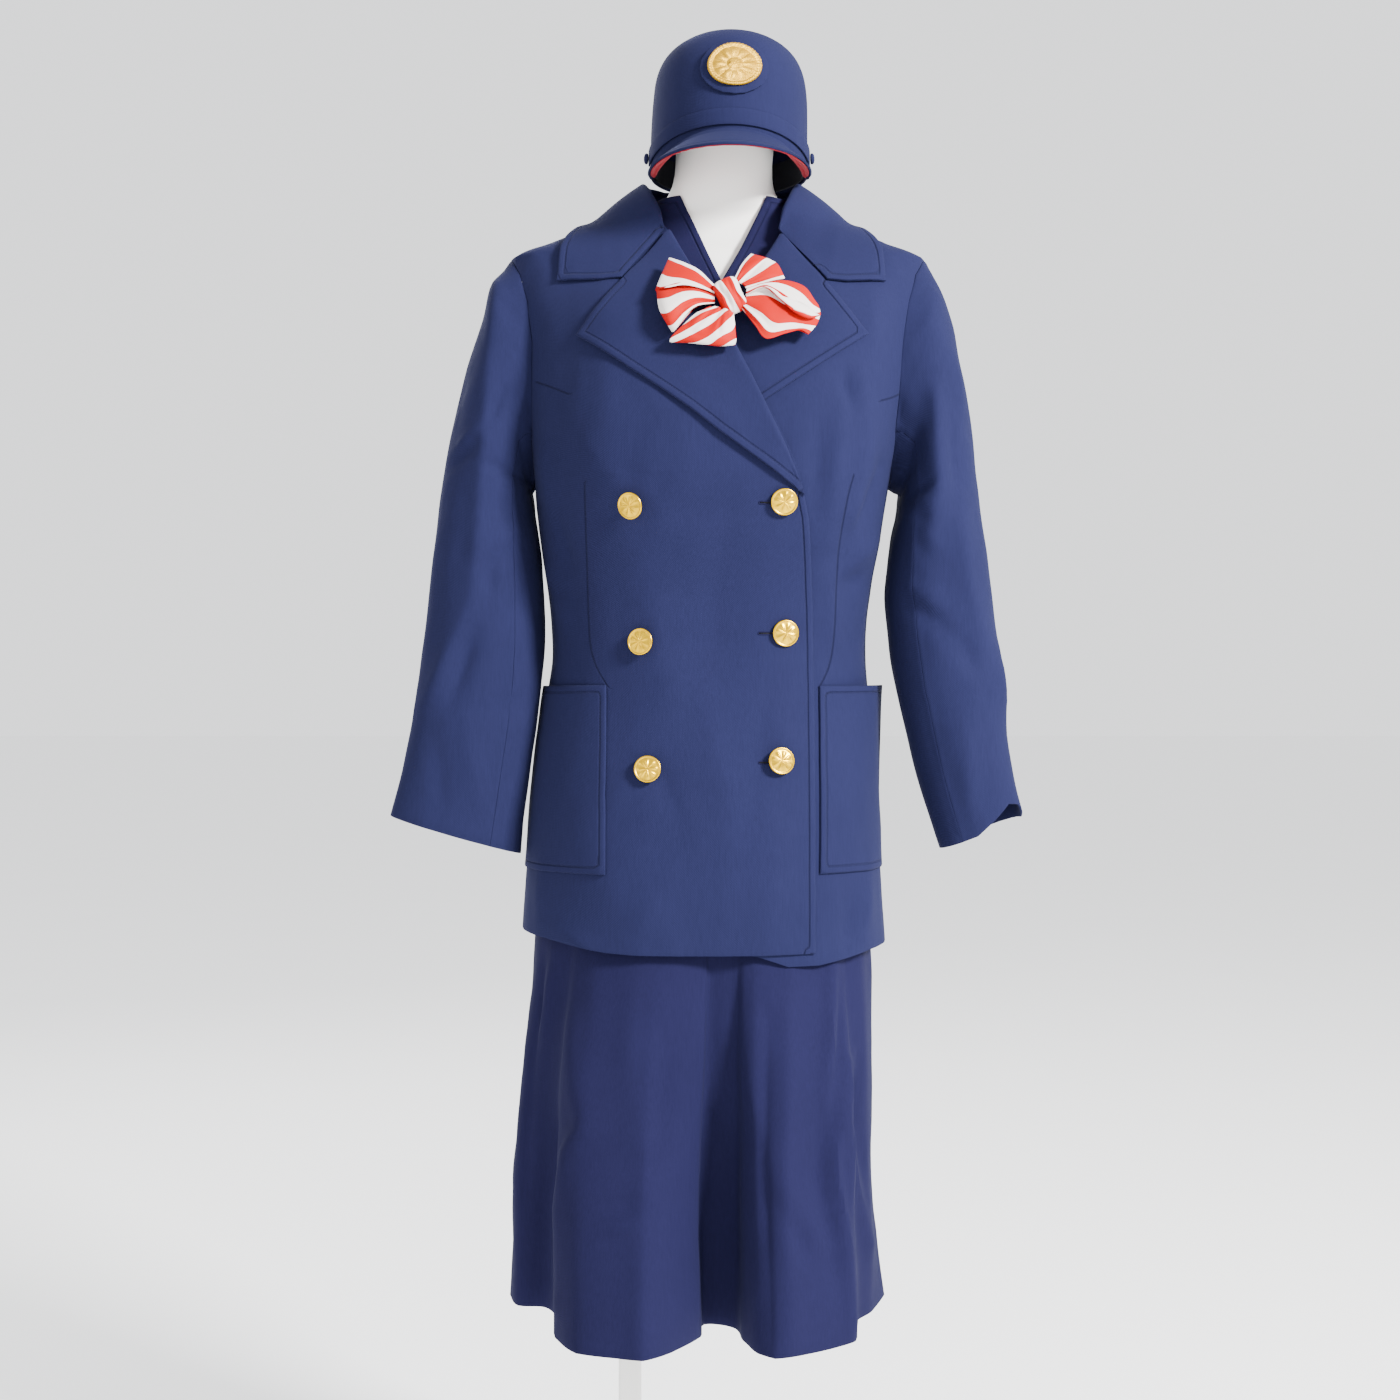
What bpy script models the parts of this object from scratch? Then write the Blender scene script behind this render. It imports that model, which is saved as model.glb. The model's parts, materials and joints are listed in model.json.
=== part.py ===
"""A flight attendant's uniform on a limbless dress form.

A double-breasted jacket, a dress with a pleated skirt, a striped bow and a peaked cap hang on
a torso form with a tall neck, which stands on a pole and a round base plate.

Every size is in millimetres and becomes metres once, in new_object. X runs to the viewer's
right, the front of the garment faces -Y, Z is up, and the origin is the middle of the base
plate's underside. Left and right in names are the wearer's.
"""

import math

import bmesh
import bpy
import numpy as np
from mathutils import Vector
from mathutils.bvhtree import BVHTree

MM = 0.001

# Cloth and seams
JACKET_CLOTH = 2.0
DRESS_CLOTH = 1.3
SCARF_CLOTH = 1.2
CAP_CLOTH = 2.4
POCKET_CLOTH = 1.7
SEAM = 0.3
LAYER_GAP = 0.8
LAPEL_GAP = 1.4
COLLAR_GAP = 0.8

# Heights of the jacket
JACKET_HEM = 676.0
ARMPIT = 1108.0
SHOULDER_TIP = 1328.0
SHOULDER_HALF = 199.0
SHOULDER_SLOPE = 0.39
BREAK_POINT = 1089.0
POCKET_BOTTOM = 747.0
POCKET_TOP = 918.0

# How far the shoulder lines of the form and the dress lie under the jacket's
FORM_DROP = 4.7
DRESS_DROP = 2.6

# The dress
DRESS_HEM = 331.0

# The stand
BASE_RADIUS = 170.0
BASE_THICKNESS = 9.0
POLE_X = -67.5
POLE_RADIUS = 11.0
POLE_COLLAR_WALL = 7.0
POLE_COLLAR_HEIGHT = 40.0
FORM_BOTTOM = 655.0

COLOURS = {
    "navy_suiting": ((0.035, 0.055, 0.19), 0.85, 0.0),
    "navy_dress": ((0.022, 0.028, 0.14), 0.88, 0.0),
    "striped_scarf": ((0.88, 0.25, 0.2), 0.7, 0.0),
    "red_lining": ((0.62, 0.06, 0.09), 0.75, 0.0),
    "black_band": ((0.01, 0.01, 0.012), 0.7, 0.0),
    "gold_metal": ((0.9, 0.62, 0.2), 0.3, 1.0),
    "form_white": ((0.86, 0.85, 0.82), 0.6, 0.0),
    "stand_white": ((0.82, 0.8, 0.76), 0.4, 0.0),
}

# Where rays cast at the front of the part start, and how far above a sheet the short ones do
IN_FRONT = -400.0
RAY_REACH = 14.0

# The finished pieces' surfaces, in millimetres, which later pieces are laid on
skins = {}


def clear_scene():
    for obj in list(bpy.data.objects):
        bpy.data.objects.remove(obj, do_unlink=True)


def material(name):
    found = bpy.data.materials.get(name)
    if found:
        return found
    colour, roughness, metallic = COLOURS[name]
    made = bpy.data.materials.new(name)
    made.use_nodes = True
    shader = made.node_tree.nodes["Principled BSDF"]
    shader.inputs["Base Color"].default_value = (*colour, 1.0)
    shader.inputs["Roughness"].default_value = roughness
    shader.inputs["Metallic"].default_value = metallic
    return made


def new_object(name, bm, slot, smooth_angle=50.0):
    """Turns a bmesh in millimetres into a named object in metres, and keeps its skin to lie on."""
    bmesh.ops.triangulate(bm, faces=bm.faces)
    bmesh.ops.recalc_face_normals(bm, faces=bm.faces)
    skins[name] = BVHTree.FromBMesh(bm)
    bmesh.ops.scale(bm, vec=(MM, MM, MM), verts=bm.verts)
    mesh = bpy.data.meshes.new(name)
    bm.to_mesh(mesh)
    bm.free()
    mesh.shade_smooth()
    mesh.set_sharp_from_angle(angle=math.radians(smooth_angle))
    obj = bpy.data.objects.new(name, mesh)
    obj.data.materials.append(material(slot))
    bpy.context.scene.collection.objects.link(obj)
    return obj


def wall(name, patches, slot):
    """A closed cloth wall: each patch is two matching grids of points, its outer and inner face.

    Rows run upwards and columns to the viewer's right. Points that coincide are joined, so a
    tube repeats its first column, a dome ends in one point, and patches can share an edge.
    """
    bm = bmesh.new()
    pairs, quads = {}, []
    for outer, inner in patches:
        outer, inner = np.asarray(outer, float), np.asarray(inner, float)
        rows, columns = outer.shape[:2]
        keys = [[tuple(np.round(outer[r, c], 3) + 0.0) for c in range(columns)] for r in range(rows)]
        for r in range(rows):
            for c in range(columns):
                if keys[r][c] not in pairs:
                    pairs[keys[r][c]] = (bm.verts.new(outer[r, c]), bm.verts.new(inner[r, c]))
        for r in range(rows - 1):
            for c in range(columns - 1):
                around = (keys[r][c], keys[r][c + 1], keys[r + 1][c + 1], keys[r + 1][c])
                corners = [k for i, k in enumerate(around) if k != around[i - 1]]
                if len(corners) > 2:
                    quads.append(corners)
    edges = set()
    for corners in quads:
        edges.update((corners[i - 1], corners[i]) for i in range(len(corners)))
        bm.faces.new([pairs[k][0] for k in corners])
        bm.faces.new([pairs[k][1] for k in reversed(corners)])
    for start, end in sorted(edges):
        if (end, start) not in edges:
            bm.faces.new((pairs[end][0], pairs[start][0], pairs[start][1], pairs[end][1]))
    return new_object(name, bm, slot)


def stack(name, rings, slot, smooth_angle=50.0):
    """A solid through closed rings of points, with flat ends."""
    bm = bmesh.new()
    loops = [[bm.verts.new(p) for p in ring] for ring in rings]
    count = len(loops[0])
    for low, high in zip(loops, loops[1:]):
        for i in range(count):
            j = (i + 1) % count
            bm.faces.new((low[i], low[j], high[j], high[i]))
    bm.faces.new(loops[0])
    bm.faces.new(loops[-1])
    return new_object(name, bm, slot, smooth_angle)


def turned(name, profile, place, axis, slot, sides=16):
    """A solid of revolution: profile rows are (radius, distance along the axis)."""
    axis = Vector(axis).normalized()
    turn = Vector((0, 0, 1)).rotation_difference(axis)
    rings = []
    for radius, along in profile:
        ring = []
        for i in range(sides):
            a = 2 * math.pi * i / sides
            ring.append(Vector(place) + turn @ Vector((radius * math.cos(a), radius * math.sin(a), along)))
        rings.append([tuple(p) for p in ring])
    return stack(name, rings, slot, 40.0)


def table(columns, rows):
    """A short table as a dictionary of named columns."""
    return {name: np.array([row[i] for row in rows], float) for i, name in enumerate(columns)}


def smooth_curve(xs, ys, straight_from=math.inf):
    """A smooth curve through a table's points that never swings past them, or straight higher up."""
    xs, ys = np.asarray(xs, float), np.asarray(ys, float)
    step = np.diff(xs)
    rise = np.diff(ys) / step
    slope = np.zeros(len(xs))
    slope[0], slope[-1] = rise[0], rise[-1]
    for i in range(1, len(xs) - 1):
        if rise[i - 1] * rise[i] > 0:
            before, after = 2 * step[i] + step[i - 1], step[i] + 2 * step[i - 1]
            slope[i] = (before + after) / (before / rise[i - 1] + after / rise[i])

    def value(x):
        x = min(max(x, xs[0]), xs[-1])
        if x >= straight_from:
            return float(np.interp(x, xs, ys))
        i = min(max(int(np.searchsorted(xs, x)) - 1, 0), len(xs) - 2)
        h = step[i]
        t = (x - xs[i]) / h
        return (
            ys[i] * (1 + 2 * t) * (1 - t) ** 2
            + slope[i] * h * t * (1 - t) ** 2
            + ys[i + 1] * t * t * (3 - 2 * t)
            + slope[i + 1] * h * t * t * (t - 1)
        )

    return value


def ease(t):
    t = min(max(t, 0.0), 1.0)
    return t * t * (3 - 2 * t)


def mix(a, b, t):
    return a + (b - a) * t


def unit(v):
    return v / max(np.linalg.norm(v), 1e-9)


def shoulder_height(half_width, drop=0.0):
    """Height of the shoulder line at a distance from the middle of the body."""
    return SHOULDER_TIP + (SHOULDER_HALF - half_width) * SHOULDER_SLOPE - drop


class Torso:
    """A body-shaped surface of level sections, each with its own width and front and back depth.

    A point is found by its angle, 0 at the middle of the front and positive to the viewer's
    right, and its height.
    """

    def __init__(self, rows, power=2.35, ridge_from=math.inf):
        data = table(("height", "half_width", "front", "back", "centre_x"), rows)
        heights = data.pop("height")
        self.section = {name: smooth_curve(heights, column, ridge_from) for name, column in data.items()}
        self.power = power

    def at(self, angle, height, out=0.0):
        """The point at an angle and height, moved out along the surface's normal."""
        point = self._skin(angle, height)
        return point + self.normal(angle, height) * out if out else point

    def _skin(self, angle, height):
        s, c = math.sin(angle), math.cos(angle)
        depth = self.section["front" if c > 0 else "back"](height)
        n = self.power
        reach = ((abs(s) / self.section["half_width"](height)) ** n + (abs(c) / depth) ** n) ** (-1 / n)
        return np.array((self.section["centre_x"](height) + reach * s, -reach * c, height))

    def normal(self, angle, height):
        around = self._skin(angle + 0.01, height) - self._skin(angle - 0.01, height)
        up = self._skin(angle, height + 1.0) - self._skin(angle, height - 1.0)
        return unit(np.cross(around, up))

    def front_angle(self, x, height):
        """The angle of the front's point that lies at this x."""
        a = self.section["half_width"](height)
        b = self.section["front"](height)
        across = x - self.section["centre_x"](height)
        share = min(abs(across) / a, 0.9995)
        return math.atan2(across, b * (1 - share**self.power) ** (1 / self.power))

    def depth_angle(self, y, height, side):
        """The angle of the point that lies this far forward (y < 0) or back, left (-1) or right (1)."""
        a = self.section["half_width"](height)
        b = self.section["front" if y < 0 else "back"](height)
        share = min(abs(y) / b, 0.98)
        angle = math.atan2(a * (1 - share**self.power) ** (1 / self.power), -y)
        return side * angle

    def gap_to(self, point):
        """Roughly how far outside the surface a point is, and the direction out."""

        def level(p):
            b = self.section["front" if p[1] < 0 else "back"](p[2])
            across = abs(p[0] - self.section["centre_x"](p[2])) / self.section["half_width"](p[2])
            return (across**self.power + (abs(p[1]) / b) ** self.power) ** (1 / self.power) - 1

        here = level(point)
        slope = np.array([(level(point + d) - level(point - d)) / 2 for d in np.eye(3)])
        steep = max(np.linalg.norm(slope), 1e-6)
        return here / steep, slope / steep

    def push_out(self, point, clearance):
        """The point itself, or the nearest place that clears the surface by that much."""
        point = np.array(point, float)
        for _ in range(6):
            gap, out = self.gap_to(point)
            if gap >= clearance - 0.01:
                break
            point = point + out * (clearance - gap) * 0.8
        return point


def shoulder_rows(drop, fronts, backs, halves=(168.0, 137.0, 107.0, 78.0), centres=(17.5, 18, 19, 20)):
    """Section rows along the shoulder line, from the tip inwards."""
    return [
        (shoulder_height(half, drop), half, front, back, centre)
        for half, front, back, centre in zip(halves, fronts, backs, centres)
    ]


# Heights, half widths, front and back depths and sideways lean of the three bodies
FORM = Torso(
    [
        (655, 148, 96, 110, 3),
        (700, 155, 102, 117, 3),
        (760, 157, 104, 121, 3),
        (820, 149, 99, 112, 4),
        (880, 136, 93, 99, 6),
        (950, 121, 88, 86, 8),
        (1000, 125, 92, 85, 9),
        (1050, 135, 103, 89, 10),
        (1100, 144, 113, 94, 11),
        (1150, 148, 113, 97, 13),
        (1200, 150, 100, 96, 15),
        (1250, 154, 82, 90, 16),
        (1290, 157, 62, 76, 17),
        (1315, 159, 45, 58, 17),
        (1330, 160, 37, 46, 17),
        *shoulder_rows(FORM_DROP, (36, 35, 35), (42, 41, 42), (152, 120, 90), (17.5, 18.5, 19.5)),
        (1372, 70, 39, 42, 20),
        (1385, 55, 44, 45, 21),
        (1402, 48, 47, 48, 22),
        (1440, 47, 47, 48, 24),
        (1500, 46.5, 47, 48, 27),
        (1518, 43, 44, 45, 28),
        (1529, 36, 37, 38, 28.5),
        (1535, 26, 27, 28, 29),
        (1538.7, 12, 12, 13, 29),
    ],
    power=2.2,
    ridge_from=1342,
)

BODICE = Torso(
    [
        (940, 131, 97, 95, 8),
        (1000, 134, 101, 94, 9),
        (1050, 143, 112, 98, 10),
        (1100, 152, 122, 103, 11),
        (1150, 156, 122, 106, 13),
        (1200, 159, 109, 105, 15),
        (1250, 162, 91, 99, 16),
        (1290, 164, 72, 86, 17),
        (1315, 165, 56, 68, 17),
        (1331, 165, 46, 56, 17),
        *shoulder_rows(DRESS_DROP, (43, 41, 40), (51, 48, 46), (154, 120, 90), (17.5, 18.5, 19.5)),
        (1376, 70, 43, 46, 20),
        (1386, 61, 46, 49, 21),
    ],
    power=2.25,
    ridge_from=1342,
)

JACKET = Torso(
    [
        (655, 175, 127, 137, 4),
        (700, 172, 128, 139, 3),
        (760, 168, 128, 139, 3),
        (820, 164, 123, 131, 4),
        (880, 158, 117, 119, 6),
        (950, 150.5, 111, 108, 8),
        (1000, 154, 115, 107, 9),
        (1050, 162, 127, 111, 10),
        (1100, 169, 137, 116, 11),
        (1150, 176, 137, 120, 13),
        (1200, 183, 127, 120, 15),
        (1250, 190, 110, 113, 16),
        (1290, 196, 90, 100, 17),
        (1312, 198.5, 74, 86, 17),
        (1328, 199, 62, 74, 17),
        *shoulder_rows(0.0, (57, 52, 48, 45), (69, 62, 56, 52)),
        (1385, 64, 47, 53, 21),
        (1400, 56, 50, 55, 22),
    ],
    power=2.35,
    ridge_from=SHOULDER_TIP,
)


def grid_normals(grid):
    """Unit normals of a grid of points, from its neighbours; its last column may close a tube."""
    closed = np.allclose(grid[:, 0], grid[:, -1])
    wide = np.concatenate([grid[:, -2:-1], grid, grid[:, 1:2]], axis=1) if closed else grid
    out = np.cross(np.gradient(wide, axis=1), np.gradient(wide, axis=0))
    out = out[:, 1:-1] if closed else out
    return out / np.maximum(np.linalg.norm(out, axis=2, keepdims=True), 1e-9)


def height_above(point, out, under):
    """How far a point lies above the pieces under it, measured against the direction out."""
    start = Vector(point + out * RAY_REACH)
    nearest = 2 * RAY_REACH
    for name in under:
        hit = skins[name].ray_cast(start, Vector(-out), 2 * RAY_REACH)
        if hit[3] is not None:
            nearest = min(nearest, hit[3])
    return nearest - RAY_REACH


def laid_on(grid, under, clearance):
    """Moves a sheet's lower face out until all of it, between its points too, clears what is under it."""
    grid = np.array(grid, float)
    shares = (0.0, 0.25, 0.5, 0.75, 1.0)
    for _ in range(20):
        out = grid_normals(grid)
        push = np.zeros(grid.shape[:2])
        for r in range(grid.shape[0] - 1):
            for c in range(grid.shape[1] - 1):
                for s in shares:
                    for t in shares:
                        weights = np.array([[(1 - s) * (1 - t), (1 - s) * t], [s * (1 - t), s * t]])
                        point = np.tensordot(weights, grid[r : r + 2, c : c + 2], 2)
                        direction = unit(np.tensordot(weights, out[r : r + 2, c : c + 2], 2))
                        short = clearance - height_above(point, direction, under)
                        if short > 0:
                            share = np.minimum(1.0, 2 * weights) * short
                            push[r : r + 2, c : c + 2] = np.maximum(push[r : r + 2, c : c + 2], share)
        if push.max() < 0.02:
            break
        grid = grid + out * push[..., None]
    return grid


# Front edges: where each front ends at each height, first the closed edge, then the roll line
RIGHT_EDGE = table(
    ("height", "x"),
    [
        (640, 104), (905, 103), (1060, 98), (BREAK_POINT, 93), (1222, 30), (1317, -17),
        (1345, -30), (1364, -43), (1376, -57),
    ],
)
LEFT_EDGE = table(
    ("height", "x"),
    [
        (640, -80), (905, -80), (1060, -72), (BREAK_POINT, -61), (1230, 16), (1317, 62),
        (1341, 75), (1362, 86), (1376, 97),
    ],
)
# The vertical dart, which also carries the pocket's inner edge lower down
RIGHT_DART = table(("height", "x"), [(640, -84), (POCKET_TOP, -84), (965, -99), (1100, -103)])
LEFT_DART = table(("height", "x"), [(640, 108.5), (POCKET_TOP, 108.5), (970, 122), (1100, 127)])

right_edge_x = smooth_curve(RIGHT_EDGE["height"], RIGHT_EDGE["x"])
left_edge_x = smooth_curve(LEFT_EDGE["height"], LEFT_EDGE["x"])
right_dart_x = smooth_curve(RIGHT_DART["height"], RIGHT_DART["x"])
left_dart_x = smooth_curve(LEFT_DART["height"], LEFT_DART["x"])

ARMHOLE_MIDDLE = (ARMPIT + SHOULDER_TIP) / 2
ARMHOLE_HALF = (SHOULDER_TIP - ARMPIT) / 2
ARMHOLE_FORWARD = 56.0
ARMHOLE_BACKWARD = 60.0

BODY_HEIGHTS = [
    JACKET_HEM, 700, POCKET_BOTTOM, 800, 860, POCKET_TOP, 953, 990, 1030, 1070, ARMPIT,
    1113, 1130, 1160, 1200, 1240, 1278, 1308, 1322, SHOULDER_TIP, 1342, 1357, 1370,
]
POCKET_ROWS = [BODY_HEIGHTS.index(h) for h in (POCKET_BOTTOM, POCKET_TOP)]
SIDE_SHARES = [0.0, 0.06, 0.3, 0.54, 0.77]
FRONT_SPANS = 7
BACK_SHARES = (0.0, 0.04, 0.13, 0.3, 0.53, 0.77, 1.0)
POCKET_COLUMNS = (1, len(SIDE_SHARES))


def armhole_y(height, back):
    """How far forward (negative) or back the armhole's edge lies at this height."""
    across = (height - ARMHOLE_MIDDLE) / ARMHOLE_HALF
    width = math.sqrt(max(1 - across * across, 0.0))
    return ARMHOLE_BACKWARD * width if back else -ARMHOLE_FORWARD * width


def side_angle(height, side, back=False):
    """Where a jacket panel starts at the side: side seam, armhole's edge or shoulder seam."""
    seam = SEAM / 2 / JACKET.section["half_width"](height)
    seam = -seam if back else seam
    if ARMPIT < height < SHOULDER_TIP:
        return JACKET.depth_angle(armhole_y(height, back), height, side)
    if height >= SHOULDER_TIP:
        seam *= 2.2
    return side * (math.pi / 2 - seam)


def front_angles(height, side, edge_x, dart_x):
    """The angles of a front's columns at one height, from its side to its front edge."""
    start = side_angle(height, side)
    end = JACKET.front_angle(edge_x(height), height)

    def dart_share(h):
        low = side_angle(min(h, ARMPIT), side)
        top = JACKET.front_angle(edge_x(h), h)
        return (JACKET.front_angle(dart_x(h), h) - low) / (top - low)

    share = dart_share(min(height, ARMPIT - 8))
    dart = mix(start, end, share)
    angles = [mix(start, dart, s) for s in SIDE_SHARES]
    return angles + [mix(dart, end, i / FRONT_SPANS) for i in range(FRONT_SPANS + 1)]


# Where the right front starts to rise over the left front, over its lapel, and lies down again:
# the place and the distance it takes
RISE_OVER_FRONT = (-128.0, 40.0)
RISE_OVER_LAPEL = (1075.0, 50.0)
RISE_ENDS = (1255.0, 60.0)

# The fronts' hems: height, then how much they drop or climb, from which x and over what width
LEFT_HEM = 678.0
LEFT_HEM_DROP = (14.0, 36.0, 46.0)
LEFT_HEM_CLIMB = (11.0, 105.0, 65.0)
RIGHT_HEM = 675.5
RIGHT_HEM_CLIMB = (12.0, -60.0, -110.0)


def right_lift(x, height):
    """How far the right front stands out, where the left front and its lapel lie under it."""
    over_front = ease((x - RISE_OVER_FRONT[0]) / RISE_OVER_FRONT[1])
    over_lapel = ease((height - RISE_OVER_LAPEL[0]) / RISE_OVER_LAPEL[1])
    fade = 1 - ease((height - RISE_ENDS[0]) / RISE_ENDS[1])
    return over_front * fade * (JACKET_CLOTH + LAYER_GAP + over_lapel * (JACKET_CLOTH + LAPEL_GAP))


def step_at(x, step):
    """The part reached at x of a soft step, given as (height, where it starts, how wide)."""
    height, start, width = step
    return height * ease((x - start) / width)


def hem_height(x, side):
    """The jacket's hem, lower on the left front and a little higher towards the right side."""
    if side > 0:
        return LEFT_HEM - step_at(x, LEFT_HEM_DROP) + step_at(x, LEFT_HEM_CLIMB)
    return RIGHT_HEM + step_at(x, RIGHT_HEM_CLIMB)


def back_hem_height(x):
    return 681.5 - 0.037 * x


def jacket_front(name, side, edge_x, dart_x, under=()):
    """One front of the jacket: side seam, armhole, shoulder, neck, roll line, edge and hem."""
    outer, inner = [], []
    for row, level in enumerate(BODY_HEIGHTS):
        angles = front_angles(level, side, edge_x, dart_x)
        if side > 0:
            angles = angles[::-1]
        line_out, line_in = [], []
        for angle in angles:
            height = level
            if row == 0:
                height = hem_height(JACKET.at(angle, level)[0], side)
            x = JACKET.at(angle, height)[0]
            lift = right_lift(x, height) if side < 0 else 0.0
            line_out.append(JACKET.at(angle, height, lift))
            line_in.append(JACKET.at(angle, height, lift - JACKET_CLOTH))
        outer.append(line_out)
        inner.append(line_in)
    outer, inner = np.array(outer), np.array(inner)
    if under:
        raised = laid_on(inner, under, 2 * SEAM)
        outer, inner = outer + raised - inner, raised
    wall(name, [(outer, inner)], "navy_suiting")
    return outer, inner


def patch_pocket(name, front, side, gape):
    """A patch pocket made from the front's own points, moved out; its mouth may stand off."""
    outer_face, inner_face = front
    low, high = POCKET_COLUMNS
    if side > 0:
        columns = outer_face.shape[1]
        low, high = columns - 1 - high, columns - 1 - low
    rows = slice(POCKET_ROWS[0], POCKET_ROWS[1] + 1)
    skin = outer_face[rows, low : high + 1]
    out = skin - inner_face[rows, low : high + 1]
    out = out / np.linalg.norm(out, axis=2, keepdims=True)
    up = np.linspace(0, 1, skin.shape[0])[:, None]
    across = np.linspace(0, 1, skin.shape[1])[None, ::side]
    stand = gape * (up**2) * (across**1.5)
    base = skin + out * (SEAM + stand[..., None])
    wall(name, [(base + out * POCKET_CLOTH, base)], "navy_suiting")


NECK_SEAM = 1374.0
NECK_SEAM_DIP = 8.0


def neckline_height(angle):
    """Height of the jacket's neck seam round the back, from one shoulder to the other."""
    return NECK_SEAM - NECK_SEAM_DIP * ease((abs(angle) - math.pi / 2) / (math.pi / 4))


def jacket_back(name, side):
    """One half of the back, from the side seam, armhole and shoulder to the centre seam."""
    outer, inner = [], []
    levels = BODY_HEIGHTS[:-1] + [NECK_SEAM]
    for row, level in enumerate(levels):
        seam = side * (math.pi / 2 + SEAM / 2 / JACKET.section["half_width"](level))
        into_armhole = side_angle(level, side, back=True) - seam
        end = side * (math.pi - SEAM / 2 / JACKET.section["back"](level))
        line_out, line_in = [], []
        for share in BACK_SHARES:
            angle = mix(seam, end, share) + into_armhole * (1 - share) ** 2
            height = level
            if row == 0:
                height = back_hem_height(JACKET.at(angle, level)[0])
            if row == len(levels) - 1:
                height = neckline_height(angle)
            line_out.append(JACKET.at(angle, height))
            line_in.append(JACKET.at(angle, height, -JACKET_CLOTH))
        if side < 0:
            line_out, line_in = line_out[::-1], line_in[::-1]
        outer.append(line_out)
        inner.append(line_in)
    wall(name, [(outer, inner)], "navy_suiting")


def lapel(name, side, top, point, foot, lift, under, start=0.0, puff_from=0.0):
    """A lapel: a triangle from its foot at the break to the gorge, folded out over its front."""
    rows, columns = 8, 4
    lower = []
    foot, top, point = (np.array(p, float) for p in (foot, top, point))
    for i in range(rows + 1):
        along = mix(start, 1.0, i / rows)
        roll, edge = mix(foot, top, along), mix(foot, point, along)
        line = []
        for j in range(columns + 1):
            across = j / columns
            x, height = mix(roll, edge, 0.015 + 0.985 * across)
            puff = 3.0 * max(1 - across * 2.2, 0) ** 2 * ease((along - puff_from) * 4)
            line.append(JACKET.at(JACKET.front_angle(x, height), height, lift(x, height) + SEAM + puff))
        lower.append(line if side > 0 else line[::-1])
    lower = laid_on(lower, under, LAPEL_GAP)
    wall(name, [(lower + grid_normals(lower) * JACKET_CLOTH, lower)], "navy_suiting")


# The collar's stations from the gorge seam round to the centre back, on one side. Roll is the
# fold along its top, edge its outer edge; x is measured from the middle of the neck.
COLLAR_CENTRE = 20.0
COLLAR = table(
    ("roll_x", "roll_y", "roll_z", "edge_x", "edge_y", "edge_z", "arch"),
    [
        (54, -70, 1345, 152, -47, 1294, 0.0),
        (62, -48, 1368, 143, -33, 1322, 2.0),
        (71, -24, 1390, 134, -16, 1346, 3.0),
        (76, 2, 1401, 128, 6, 1355, 3.0),
        (72, 26, 1403, 118, 34, 1347, 4.0),
        (56, 46, 1404, 95, 58, 1338, 6.0),
        (32, 58, 1405, 55, 74, 1334, 8.0),
        (0, 62, 1405, 0, 80, 1333, 8.0),
    ],
)
NOTCHES = {-1: (-73.5, 1288.5), 1: (118.5, 1288.5)}
NOTCH_SHARE = 0.42


def collar_stations():
    """Every station of the collar, from the viewer's left round the back to the right."""
    count = len(COLLAR["roll_x"])
    half = [{name: column[i] for name, column in COLLAR.items()} for i in range(count)]
    stations = [dict(s, side=-1) for s in half]
    stations += [dict(s, side=1) for s in half[-2::-1]]
    return stations


def collar_point(station, t, corner):
    """A point of the collar's outer face, t from 0 at the roll to 1 at the edge."""
    side = station["side"]
    roll = np.array((COLLAR_CENTRE + side * station["roll_x"], station["roll_y"], station["roll_z"]))
    edge = np.array((COLLAR_CENTRE + side * station["edge_x"], station["edge_y"], station["edge_z"]))
    straight = mix(roll, edge, t)
    chord = unit(edge - roll)
    out = np.array((side * 0.6, 0.0, 1.0))
    out = unit(out - chord * out.dot(chord))
    bowed = straight + out * station["arch"] * 4 * t * (1 - t)
    if corner:
        notch_x, notch_z = NOTCHES[side]
        if t < NOTCH_SHARE:
            share = t / NOTCH_SHARE
            x, z = mix(roll[0], notch_x, share), mix(roll[2], notch_z, share)
        else:
            share = (t - NOTCH_SHARE) / (1 - NOTCH_SHARE)
            x, z = mix(notch_x, edge[0], share), mix(notch_z, edge[2], share)
        bowed = JACKET.at(JACKET.front_angle(x, z), z, 1.0)
    return bowed


def collar_leaf():
    """The collar's falling leaf: from the roll down over the shoulders and the back."""
    columns = 5
    stations = collar_stations()
    lower = []
    for i in range(columns + 1):
        line = []
        for number, station in enumerate(stations):
            corner = number in (0, len(stations) - 1)
            point = collar_point(station, 1 - i / columns, corner)
            line.append(JACKET.push_out(point, 1.0))
        # from the wearer's left end round the back, so that the outer face looks out
        lower.append(line[::-1])
    lower = np.array(lower)
    lower[:, 0] += unit(lower[3, 1] - lower[3, 0]) * 2 * SEAM
    lower[:, -1] += unit(lower[3, -2] - lower[3, -1]) * 2 * SEAM
    lower = laid_on(lower, JACKET_BODY, COLLAR_GAP)
    outer = lower + grid_normals(lower) * JACKET_CLOTH
    wall("collar", [(outer, lower)], "navy_suiting")
    return lower


def collar_stand(leaf):
    """The band inside the collar, from the neck seam up to just under the roll."""
    first, last = 2, leaf.shape[1] - 3
    roll = leaf[-1, first : last + 1]
    neck_x = COLLAR_CENTRE + 2
    bottom, top = [], []
    for point in roll:
        angle = math.atan2(point[0] - neck_x, -point[1])
        base = JACKET.at(angle, neckline_height(angle) + 3 * SEAM, 0.6)
        inward = unit(np.array((neck_x - point[0], -point[1], 0.0)))
        bottom.append(base)
        top.append(point + inward * 1.6 - np.array((0, 0, 2.2)))
    bottom, top = np.array(bottom), np.array(top)
    rows = [mix(bottom, top, t) for t in (0.0, 0.5, 1.0)]
    outer = np.array(rows)
    wall("collar_stand", [(outer, outer - grid_normals(outer) * JACKET_CLOTH)], "navy_suiting")


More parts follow.
